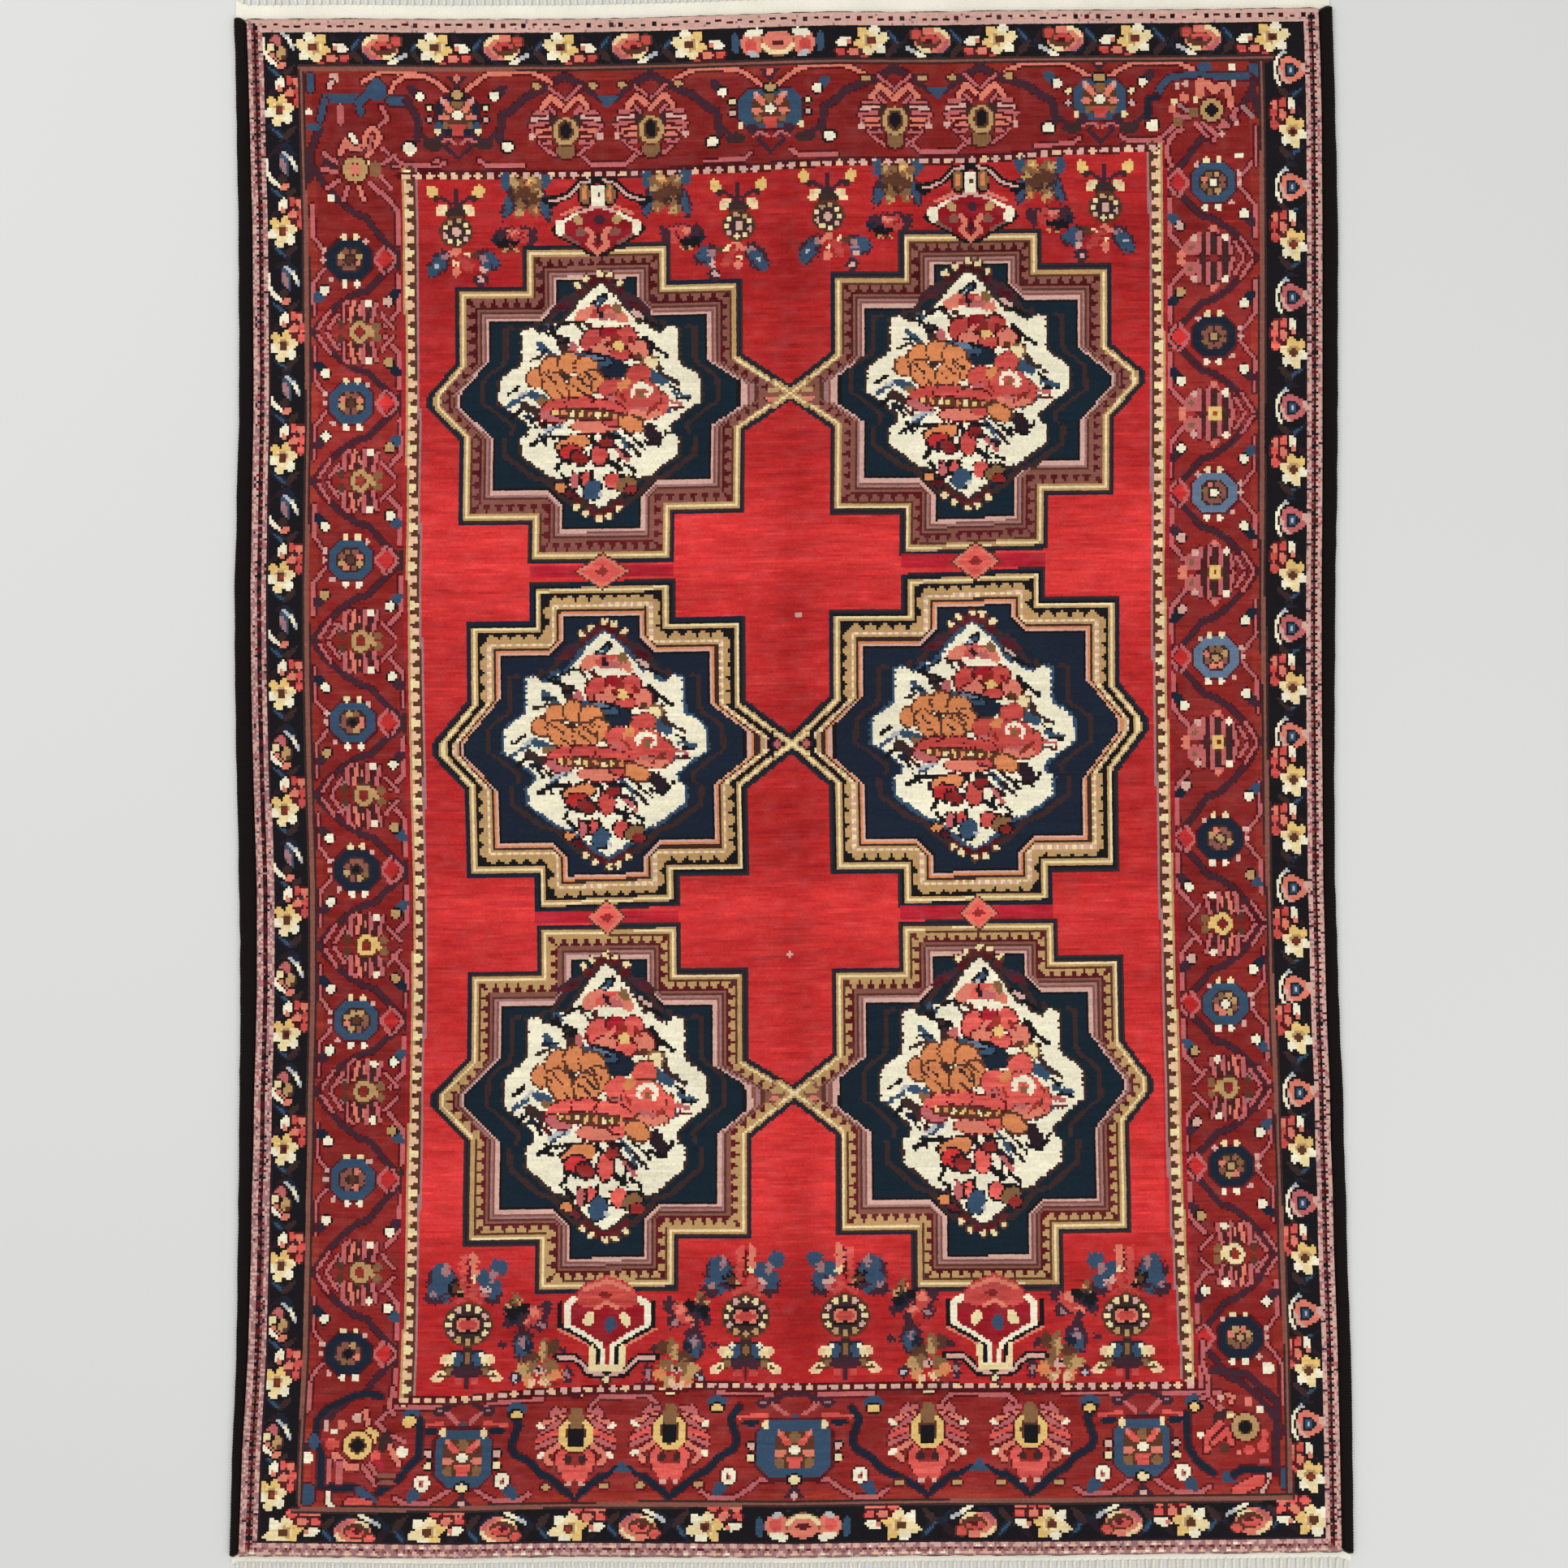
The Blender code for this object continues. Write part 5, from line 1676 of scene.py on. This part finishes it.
@functools.lru_cache(maxsize=None)
def spun_yarn_group():
    """Spun yarn's uneven colour: fine fibres, and slow clouds where the dye took differently."""
    group, given, result = new_group(
        "Spun Yarn",
        {"Vector": "Vector", "Color": "Color", **dict.fromkeys(YARN_SOCKETS, "Float")},
        {"Color": "Color", "Height": "Float", "Roughness": "Float"},
    )
    noises = []
    for scale, detail, roughness in (("Fibre Scale", 3.0, 0.6), ("Cloud Scale", 2.0, 0.5)):
        inputs = {"Vector": given["Vector"], "Scale": given[scale], "Detail": detail, "Roughness": roughness}
        noises.append(add_node(group, "TexNoise", inputs).outputs["Fac"])
    shade = 1.0
    for noise, amount in zip(noises, ("Fibre Amount", "Cloud Amount")):
        middle = calculate(group, "SUBTRACT", noise, 0.5)
        shade = calculate(group, "MULTIPLY_ADD", middle, given[amount], shade)
    shaded = add_node(group, "VectorMath", {0: given["Color"], "Scale": shade}, operation="SCALE")
    rough = add_node(group, "MapRange", {"Value": noises[0], "To Min": 0.98, "To Max": 0.76})
    group.links.new(shaded.outputs[0], result["Color"])
    group.links.new(noises[0], result["Height"])
    group.links.new(rough.outputs[0], result["Roughness"])
    return group


@functools.lru_cache(maxsize=None)
def plain_weave_group():
    """The over-and-under relief of a plain weave, one thread to each pitch."""
    group, given, result = new_group(
        "Plain Weave", {"Vector": "Vector", **dict.fromkeys(WEAVE_SOCKETS, "Float")}, {"Height": "Float"}
    )
    waves = []
    for direction, scale in zip("XY", WEAVE_SOCKETS):
        inputs = {"Vector": given["Vector"], "Scale": given[scale], "Distortion": 0.6, "Detail": 1.0}
        wave = add_node(group, "TexWave", inputs, wave_type="BANDS", bands_direction=direction)
        waves.append(wave.outputs["Fac"])
    group.links.new(calculate(group, "MULTIPLY", *waves), result["Height"])
    return group


def cloth_material(name, colour="yarn"):
    """A cloth in one of the finishes. `colour` is the name of a face attribute or a plain colour."""
    finish = FINISHES[name]
    material = bpy.data.materials.new(name)
    material.use_nodes = True
    tree = material.node_tree
    shader = tree.nodes["Principled BSDF"]
    coordinates = add_node(tree, "TexCoord").outputs["Object"]
    where = coordinates
    if finish.along:
        uv_map = add_node(tree, "UVMap", uv_map="OFBake").outputs["UV"]
        where = add_node(tree, "Mapping", {"Vector": uv_map, "Scale": finish.along}).outputs[0]
    if isinstance(colour, str):
        source = add_node(tree, "Attribute", attribute_name=colour).outputs["Color"]
    else:
        source = (*colour, 1.0)
    inputs = {"Vector": where, "Color": source, **dict(zip(YARN_SOCKETS, finish.yarn))}
    spun = add_node(tree, "Group", inputs, node_tree=spun_yarn_group()).outputs
    height = spun["Height"]
    if finish.weave:
        inputs = {"Vector": coordinates, **dict(zip(WEAVE_SOCKETS, finish.weave))}
        woven = add_node(tree, "Group", inputs, node_tree=plain_weave_group()).outputs
        height = calculate(tree, "MULTIPLY_ADD", woven["Height"], WEAVE_RELIEF, height)
    strength, depth = finish.bump
    relief = add_node(tree, "Bump", {"Height": height, "Strength": strength, "Distance": depth})
    tree.links.new(spun["Color"], shader.inputs["Base Color"])
    tree.links.new(spun["Roughness"], shader.inputs["Roughness"])
    tree.links.new(relief.outputs["Normal"], shader.inputs["Normal"])
    shader.inputs["Specular IOR Level"].default_value = 0.1
    shader.inputs["Sheen Weight"].default_value = finish.sheen[0]
    shader.inputs["Sheen Roughness"].default_value = finish.sheen[1]
    return material


# ---- The pile and the woven back ----

# Where the red yarn's dye lot changes: (knot row, its lightness in the field, in the borders)
DYE_LOTS = (
    (0, 0.85, 0.88), (80, 0.82, 0.88), (110, 0.70, 0.97), (130, 0.79, 1.12), (150, 0.88, 1.28),
    (195, 0.93, 1.28), (225, 1.40, 0.97), (250, 1.30, 1.03), (275, 1.02, 1.02), (310, 0.90, 0.96),
    (350, 0.90, 0.94), (374, 0.96, 0.88), (388, 1.38, 0.92), (402, 1.16, 0.92), (415, 1.06, 0.92),
    (450, 1.18, 0.92), (495, 1.24, 0.94), (510, 1.42, 1.05), (530, 1.20, 1.05), (550, 0.86, 1.05),
    (590, 0.83, 0.97), (630, 0.80, 1.14), (672, 0.80, 1.14),
)
REDS = ("garnet", "madder", "brick", "field", "crimson", "coral")
FIELD_ROWS = (62, 602)
FIELD_COLUMNS = (73, 402)
# How a lighter lot changes red, green and blue: it turns a little more coral and paler, a painted sheen on
# the lighter red wool
SHEEN_TINT = (0.92, 1.45, 1.35)
# How much paler the red tufts are in seeded patches: a painted sheen on the wool
SHEEN_HAZE = 0.006
# (knots down, knots across, strength) of the slow differences within one yarn
STREAKS = ((1, 7, 0.10), (2, 14, 0.08), (5, 30, 0.05), (22, 40, 0.07))
# The other yarns' share of those differences, and how far single knots differ
QUIET_STREAKS = 0.45
KNOT_DIFFERENCE = 0.045
# (knot row, strength) of the pale lines across the field where it was folded, a painted highlight along each
# fold, and their reach in knots
FOLD_HIGHLIGHTS = ((238.5, 0.14), (391.0, 0.07))
FOLD_HIGHLIGHT_REACH = 1.6
# The dimmer strip down the field's middle: (knot column, reach, strength)
MIDDLE_STRIP = (241, 10, 0.16)
BACK_DULLNESS = 0.86


def clouds(draw, tall, wide):
    """Smooth seeded differences over the chart, fixed every few knots down and across."""
    marks = draw.normal(0.0, 1.0, (KNOT_ROWS // tall + 2, KNOT_COLUMNS // wide + 2))
    rows, cols = np.arange(KNOT_ROWS) / tall, np.arange(KNOT_COLUMNS) / wide
    steps = [np.arange(size) for size in marks.shape]
    filled = np.array([np.interp(rows, steps[0], line) for line in marks.T]).T
    return np.array([np.interp(cols, steps[1], line) for line in filled])


def knot_colours():
    """Each knot's colour as linear light, with its dye lot, painted sheen on the red wool and its own small
    difference.
    """
    colours = bpy.context.scene.rug_colours
    yarns = linear([list(getattr(colours, name)) for name in YARN_NUMBER]) * WOOL_WHITENESS
    chart = weave()
    rows = np.arange(KNOT_ROWS) + 0.5
    starts, in_field, in_borders = np.array(DYE_LOTS, float).T
    lot = np.tile(np.interp(rows, starts, in_borders)[:, None], (1, KNOT_COLUMNS))
    field = (slice(*FIELD_ROWS), slice(*FIELD_COLUMNS))
    lot[field] = np.interp(rows, starts, in_field)[field[0], None]
    draw = np.random.default_rng(1290)
    uneven = sum(strength * clouds(draw, tall, wide) for tall, wide, strength in STREAKS)
    # painted highlight along the fold lines
    for row, strength in FOLD_HIGHLIGHTS:
        uneven[field] += strength * np.exp(-(((rows[field[0], None] - row) / FOLD_HIGHLIGHT_REACH) ** 2))
    strip, reach, dimming = MIDDLE_STRIP
    uneven[field] -= dimming * np.exp(-(((np.arange(*FIELD_COLUMNS) - strip) / reach) ** 2))
    is_red = np.isin(chart, [YARN_NUMBER[name] for name in REDS])
    shade = np.where(is_red, lot * np.exp(uneven), np.exp(QUIET_STREAKS * uneven))
    shade *= draw.normal(1.0, KNOT_DIFFERENCE, chart.shape)
    # painted sheen: lighter red knots turn paler and a little more coral
    tint = np.where(is_red[..., None], SHEEN_TINT, 1.0)
    # a pale haze of painted sheen on the red tufts
    painted_sheen = SHEEN_HAZE * np.clip(0.5 + clouds(draw, 3, 4), 0.0, None)
    painted_sheen = np.where(is_red, painted_sheen, 0.0)[..., None]
    return np.clip(yarns[chart] * shade[..., None] ** tint + painted_sheen, 0.0, 0.95)


def knot_lines(count, sizes, top):
    """Where the lines between knots run, in knots, and the pile's height on each. The first and
    last knots carry the rounded rim and the upright side."""
    turns = np.radians(RIM_TURNS)
    inset, rise = 1 - np.cos(turns), sizes.pile_wall + (top - sizes.pile_wall) * np.sin(turns)
    places = np.concatenate(([0.0], inset, np.arange(1.0, count), count - inset[::-1], [count]))
    floor = [sizes.pile_floor]
    return places, np.concatenate((floor, rise, np.full(count - 1, top), rise[::-1], floor))


def pile_surface(sizes, top):
    """Every corner of the knots, with the small shifts of hand knotting."""
    cols, col_heights = knot_lines(KNOT_COLUMNS, sizes, top)
    rows, row_heights = knot_lines(KNOT_ROWS, sizes, top)
    flat = laid_out(cols[None, :] / KNOT_COLUMNS, rows[:, None] / KNOT_ROWS)
    heights = np.minimum(col_heights[None, :], row_heights[:, None])
    draw = np.random.default_rng(672)
    inside = (heights >= top - 1e-9).astype(float)
    shift = np.clip(draw.normal(0.0, 0.35, flat.shape), -1, 1) * sizes.knot_shift
    rise = np.clip(draw.normal(0.0, 0.4, heights.shape), -1, 1) * sizes.tuft_rise
    return np.dstack((flat + shift * inside[..., None], heights + rise * inside))


class RUG_OT_weave_pile(bpy.types.Operator):
    """Weave the wool pile from the chart, in full-width loom sections"""

    bl_idname = "rug.weave_pile"
    bl_label = "Weave Pile"

    def execute(self, context):
        sizes = context.scene.rug_sizes
        surface = pile_surface(sizes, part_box("rug_pile")[1].z)
        colours = knot_colours()
        spare = len(RIM_TURNS)
        material = cloth_material("wool_pile_cut")
        columns = surface.shape[1] - 1
        ends = np.linspace(0, surface.shape[0] - 1, LOOM_SECTIONS + 1).astype(int)
        for number, (first, last) in enumerate(zip(ends, ends[1:]), start=1):
            rows = int(last - first)
            mesh, _, across, down = flat_grids(f"pile_section_{number}", columns, rows)
            col, row = face_knots(mesh, columns, rows)
            col = np.clip(col - spare, 0, KNOT_COLUMNS - 1)
            row = np.clip(first + row - spare, 0, KNOT_ROWS - 1)
            colour_faces(mesh, colours[row, col])
            at_row = first + np.rint(down * rows).astype(int)
            at_col = np.rint(across * columns).astype(int)
            move_points(mesh, surface[at_row, at_col])
            close_up(mesh, sizes.pile_floor)
            add_piece(mesh, material, "rug_pile")
        return {"FINISHED"}


class RUG_OT_weave_back(bpy.types.Operator):
    """Weave the rug's flat back, where the pattern shows through"""

    bl_idname = "rug.weave_back"
    bl_label = "Weave Back"

    def execute(self, context):
        sizes = context.scene.rug_sizes
        columns, rows = KNOT_COLUMNS // 2, KNOT_ROWS // 2
        mesh, _, across, down = flat_grids("woven_back", columns, rows)
        col, row = face_knots(mesh, columns, rows)
        colour_faces(mesh, knot_colours()[row * 2, col * 2] * BACK_DULLNESS)
        flat = laid_out(across, down)
        middle = flat.mean(axis=0)
        reach = np.abs(flat - middle).max(axis=0)
        flat = middle + (flat - middle) * (1 - sizes.back_inset / reach)
        move_points(mesh, flat, np.zeros(len(flat)))
        with editing(mesh) as builder:
            rim = [edge for edge in builder.edges if edge.is_boundary]
            drawn_out(builder, rim, sizes.back_height)
        close_up(mesh)
        back = add_piece(mesh, cloth_material("wool_back_knots"), "rug_pile")
        return {"FINISHED"}


# ---- The side cords ----

CORD_SIDES = 14
STEPS_PER_WRAP = 3
CORD_RING_GAP = 0.03
# How far the wrapping bulges past the cord's own outer line
WRAP_BULGE = 0.0028
# How far a cord's thickness wanders, and in what share of its length
CORD_WANDER = (0.05, 0.012)
WRAP_JITTER = 0.4
# The length in which a cord's end rounds off
CORD_END = 0.004


def outermost(points, outwards):
    """A side cord's outer line: the point furthest out on each of its CAD rings."""
    parts = np.flatnonzero(np.diff(points[:, 1]) > CORD_RING_GAP) + 1
    rings = np.split(points, parts)
    return np.array([ring[(ring[:, 0] * outwards).argmax()] for ring in rings])


class RUG_OT_overcast_sides(bpy.types.Operator):
    """Wrap the two side cords in goat hair"""

    bl_idname = "rug.overcast_sides"
    bl_label = "Overcast Sides"

    def execute(self, context):
        sizes = context.scene.rug_sizes
        material = cloth_material("goat_hair_wrap", plain_colour("goat_hair"))
        for side in ("left", "right"):
            node = f"selvedge_{side}"
            outwards = OUTWARDS[side]
            points = node_points(node)
            length = points[-1, 1] - points[0, 1]
            wraps = int(length / sizes.wrap_pitch)
            steps = wraps * STEPS_PER_WRAP
            mesh, _, around, down = flat_grids(node + "_wrapped", CORD_SIDES, steps)
            draw = np.random.default_rng(len(side))
            inner, line = side_place(side, down)
            inner = inner + outwards * JOIN_GAP
            edge = outermost(points, outwards)
            outer = np.interp(line, edge[:, 1], edge[:, 0]) + outwards * WRAP_BULGE
            turn = 2 * math.pi * around
            wrap = np.sin(2 * math.pi * wraps * down + turn)
            levels = np.linspace(0, 1, steps + 1)
            uneven = np.interp(down, levels, wandering(draw, levels, *CORD_WANDER))
            jitter = draw.uniform(-WRAP_JITTER, WRAP_JITTER, steps + 1)[np.rint(down * steps).astype(int)]
            half = np.abs(outer - inner) / 2 * (1 + uneven) - sizes.cord_ridge
            ridge = sizes.cord_ridge * (wrap + jitter)
            middle_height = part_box(node)[1].z / 2
            end = np.sqrt(np.clip(np.minimum(down, 1 - down) * length / CORD_END, 0.05, 1))
            x = (inner + outer) / 2 + np.cos(turn) * (half + ridge) * end
            y = line + END_SLANT * np.abs(x - inner) * (1 - 2 * down)
            z = middle_height * (1 + np.sin(turn) * end) + np.sin(turn) * (ridge - sizes.cord_ridge)
            move_points(mesh, x, y, np.clip(z, 0.0, None))
            close_up(mesh)
            add_piece(mesh, material, node)
        return {"FINISHED"}


# ---- The cotton ends, their fringe and the dark twined yarn, which also paints the shade at the pile's ends ----

COTTON_WIDTH = {"top": 0.022, "bottom": 0.010}
STRIP_COLUMNS = 960
STRIP_ROWS = {"top": 14, "bottom": 7}
WARP_PITCH = 0.0032
WEFT_PITCH = 0.0030
STRANDS_PER_END = 140
YARNS_PER_STRAND = 3
FRINGE_LENGTH = 0.056
# How much shorter than that a strand may be, as a share
FRINGE_SHORTER = (0.01, 0.12)
# How far a strand's root, its tip and its middle stray sideways, and a loose yarn's tip
ROOT_STRAY = 0.0008
TIP_STRAY = 0.0022
BOW_STRAY = 0.0016
LOOSE_STRAY = 0.0022
# The share of a strand that stays twisted
TWIST_END = 0.72
# How far inside the strip a strand starts
ROOT_DEPTH = 0.002
# How far from a strand's middle its yarns lie, in half yarn widths
YARN_SPREAD = 1.12
FRINGE_SEEDS = {"top": 31, "bottom": 32}
TWINE_STEPS = 900
TWINE_TURNS = 420
TWINE_SEEDS = {"top": 57, "bottom": 58}


def weave_strip(end, sizes, material):
    """The flat-woven strip beyond the pile, a closed slab with ribs on its upper side."""
    node = f"cotton_end_{end}"
    outwards = OUTWARDS[end]
    low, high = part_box(node)
    mesh, _, across, down = flat_grids(f"cotton_strip_{end}", STRIP_COLUMNS, STRIP_ROWS[end])
    x = low.x + across * (high.x - low.x)
    reach = JOIN_GAP + down * COTTON_WIDTH[end]
    move_points(mesh, x, end_line(end, x) + outwards * reach, 0 * x)
    with editing(mesh) as builder:
        raised = bmesh.ops.extrude_face_region(builder, geom=builder.faces[:])["geom"]
        verts = [item for item in raised if isinstance(item, bmesh.types.BMVert)]
        xs, ys = np.array([vert.co.xy for vert in verts]).T
        out = (ys - end_line(end, xs)) * outwards
        rib = np.cos(2 * math.pi * xs / WARP_PITCH) * np.cos(2 * math.pi * out / WEFT_PITCH)
        for vert, lift in zip(verts, rib):
            vert.co.z = sizes.cotton_height + sizes.cotton_rib * lift
        bmesh.ops.recalc_face_normals(builder, faces=builder.faces)
    add_piece(mesh, material, node)


def knot_fringe(end, sizes, material):
    """Twisted strands that grow out of the strip, lie on the floor and come apart at their tips."""
    node = f"cotton_end_{end}"
    low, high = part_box(node)
    strands = STRANDS_PER_END
    count = strands * YARNS_PER_STRAND
    mesh, yarn, around, along = flat_grids(f"cotton_fringe_{end}", 4, 16, count)
    draw = np.random.default_rng(FRINGE_SEEDS[end])
    strand = yarn // YARNS_PER_STRAND
    places = (2 * np.arange(strands) + 1.5) / (2 * strands + 1)
    root_x = low.x + places * (high.x - low.x) + draw.uniform(-ROOT_STRAY, ROOT_STRAY, strands)
    lean = draw.uniform(-TIP_STRAY, TIP_STRAY, strands)
    bow = draw.uniform(-BOW_STRAY, BOW_STRAY, strands)
    length = FRINGE_LENGTH * (1 - draw.uniform(*FRINGE_SHORTER, strands))
    own = draw.uniform(-1, 1, (count, 3))
    loose = np.clip((along - TWIST_END) / (1 - TWIST_END), 0, 1)
    run = length[strand] * (1 + 0.03 * own[yarn, 0])
    half = sizes.fringe_yarn / 2
    phase = 2 * math.pi * (run * along / sizes.fringe_twist + yarn / YARNS_PER_STRAND)
    phase += 2 * math.pi * draw.uniform(0, 1, strands)[strand]
    spread = half * YARN_SPREAD * (1 - loose)
    middle = root_x[strand] + lean[strand] * along + bow[strand] * np.sin(math.pi * along)
    middle = middle + loose * own[yarn, 1] * LOOSE_STRAY
    inside = COTTON_WIDTH[end] + JOIN_GAP - ROOT_DEPTH
    thin = np.clip(np.minimum(along / 0.04, (1 - along) / 0.06), 0.15, 1.0)
    turn = 2 * math.pi * around
    x = middle + np.cos(phase) * spread + np.cos(turn) * half * thin
    y = end_line(end, root_x)[strand] + OUTWARDS[end] * (inside + along * (run + ROOT_DEPTH))
    z = half + spread + np.sin(phase) * spread + np.sin(turn) * half * thin
    move_points(mesh, x, y, np.clip(z, 0.0, None))
    close_up(mesh)
    add_piece(mesh, material, node)


def twine_dark_yarn_and_shade(end, sizes, material):
    """The dark yarn twined along the edge between the pile and the cotton; its darkness is also painted
    shade where the pile's end shades the cotton.
    """
    line = OUTLINE[end]
    mesh, _, around, along = flat_grids(f"dark_twine_{end}", 6, TWINE_STEPS)
    draw = np.random.default_rng(TWINE_SEEDS[end])
    levels = np.linspace(0, 1, TWINE_STEPS + 1)
    wander = np.interp(along, levels, wandering(draw, levels, 0.0007, 0.008))
    width = np.interp(along, levels, wandering(draw, levels, 0.25, 0.003)) + 1.0
    x = line[0, 0] + along * (line[-1, 0] - line[0, 0])
    half = sizes.twine_width / 2 * width
    turn = 2 * math.pi * around
    half = half * (1 + 0.16 * np.sin(3 * turn + 2 * math.pi * along * TWINE_TURNS))
    y = end_line(end, x) + OUTWARDS[end] * (sizes.twine_width * 0.62 + wander + np.cos(turn) * half)
    z = sizes.cotton_height + sizes.twine_width * 0.3 + np.sin(turn) * half
    move_points(mesh, x, y, z)
    close_up(mesh)
    add_piece(mesh, material, f"cotton_end_{end}")


class RUG_OT_finish_ends(bpy.types.Operator):
    """Make the cotton strip, the fringe and the dark twined yarn at both ends"""

    bl_idname = "rug.finish_ends"
    bl_label = "Finish Ends"
    # Make the cotton strip, the fringe and the dark twined yarn at both ends; the dark yarn also paints the
    # shade along the pile's ends

    def execute(self, context):
        sizes = context.scene.rug_sizes
        cream = plain_colour("cotton", COTTON_WHITENESS)
        strip = cloth_material("cotton_strip_weave", cream)
        strands = cloth_material("cotton_fringe_yarn", cream)
        # dark yarn that is also painted shade along the pile's ends
        twine = cloth_material("dark_twined_yarn", plain_colour("goat_hair"))
        for end in ("top", "bottom"):
            weave_strip(end, sizes, strip)
            knot_fringe(end, sizes, strands)
            twine_dark_yarn_and_shade(end, sizes, twine)
        return {"FINISHED"}


# ---- The stage ----

# name, place, size, power
LIGHTS = (
    ("soft_light_left", (-2.6, 1.8, 3.4), 3.0, 69.0),
    ("soft_light_right", (2.6, -1.8, 3.4), 3.0, 55.0),
)
ROOM_LIGHT = 0.70
VIEW_MIDDLE = (-0.0105, -0.0089)
FLOOR_REACH = 9.0
FLOOR_HEIGHT = -0.0005


class RUG_OT_set_stage(bpy.types.Operator):
    """Put the pale floor, the soft lights and the camera in place"""

    bl_idname = "rug.set_stage"
    bl_label = "Set Stage"

    def execute(self, context):
        scene = context.scene
        mesh = bpy.data.meshes.new("floor")
        with editing(mesh) as builder:
            bmesh.ops.create_grid(builder, x_segments=8, y_segments=8, size=FLOOR_REACH)
            bmesh.ops.translate(builder, verts=builder.verts, vec=(0.0, 0.0, FLOOR_HEIGHT))
        floor = bpy.data.objects.new("floor", mesh)
        scene.collection.objects.link(floor)
        material = bpy.data.materials.new("pale_floor")
        material.use_nodes = True
        shader = material.node_tree.nodes["Principled BSDF"]
        shader.inputs["Base Color"].default_value = (*plain_colour("floor"), 1.0)
        shader.inputs["Roughness"].default_value = 0.9
        mesh.materials.append(material)
        for name, place, size, power in LIGHTS:
            light = bpy.data.lights.new(name, "AREA")
            light.shape = "SQUARE"
            light.size = size
            light.energy = power
            lamp = bpy.data.objects.new(name, light)
            lamp.location = place
            lamp.rotation_euler = (-lamp.location).to_track_quat("-Z", "Y").to_euler()
            scene.collection.objects.link(lamp)
        scene.world = bpy.data.worlds.new("pale_room")
        scene.world.use_nodes = True
        background = scene.world.node_tree.nodes["Background"]
        background.inputs["Color"].default_value = (1.0, 1.0, 1.0, 1.0)
        background.inputs["Strength"].default_value = ROOM_LIGHT
        camera = bpy.data.cameras.new("camera")
        camera.lens = 50.0
        camera.sensor_width = 36.0
        viewer = bpy.data.objects.new("camera", camera)
        viewer.location = (*VIEW_MIDDLE, scene.rug_sizes.view_height)
        scene.collection.objects.link(viewer)
        scene.camera = viewer
        scene.view_settings.view_transform = "Standard"
        return {"FINISHED"}


# ---- The add-on ----


class RUG_PT_making(bpy.types.Panel):
    """The rug's sizes, colours and making steps"""

    bl_idname = "RUG_PT_making"
    bl_label = "Persian Rug"
    bl_space_type = "VIEW_3D"
    bl_region_type = "UI"
    bl_category = "Rug"

    def draw(self, context):
        for group in (context.scene.rug_sizes, context.scene.rug_colours):
            box = self.layout.box()
            for name in group.__annotations__:
                box.prop(group, name)
        for step in STEPS:
            self.layout.operator(step.bl_idname)


STEPS = (
    RUG_OT_set_stage,
    RUG_OT_weave_pile,
    RUG_OT_overcast_sides,
    RUG_OT_finish_ends,
    RUG_OT_weave_back,
)
CLASSES = (RugSizes, RugColours, *STEPS, RUG_PT_making)


def register():
    for item in CLASSES:
        bpy.utils.register_class(item)
    bpy.types.Scene.rug_sizes = bpy.props.PointerProperty(type=RugSizes)
    bpy.types.Scene.rug_colours = bpy.props.PointerProperty(type=RugColours)


def unregister():
    del bpy.types.Scene.rug_colours
    del bpy.types.Scene.rug_sizes
    for item in reversed(CLASSES):
        bpy.utils.unregister_class(item)


def main():
    register()
    bpy.ops.rug.set_stage()
    bpy.ops.rug.weave_pile()
    bpy.ops.rug.overcast_sides()
    bpy.ops.rug.finish_ends()
    bpy.ops.rug.weave_back()


if __name__ == "__main__":
    main()
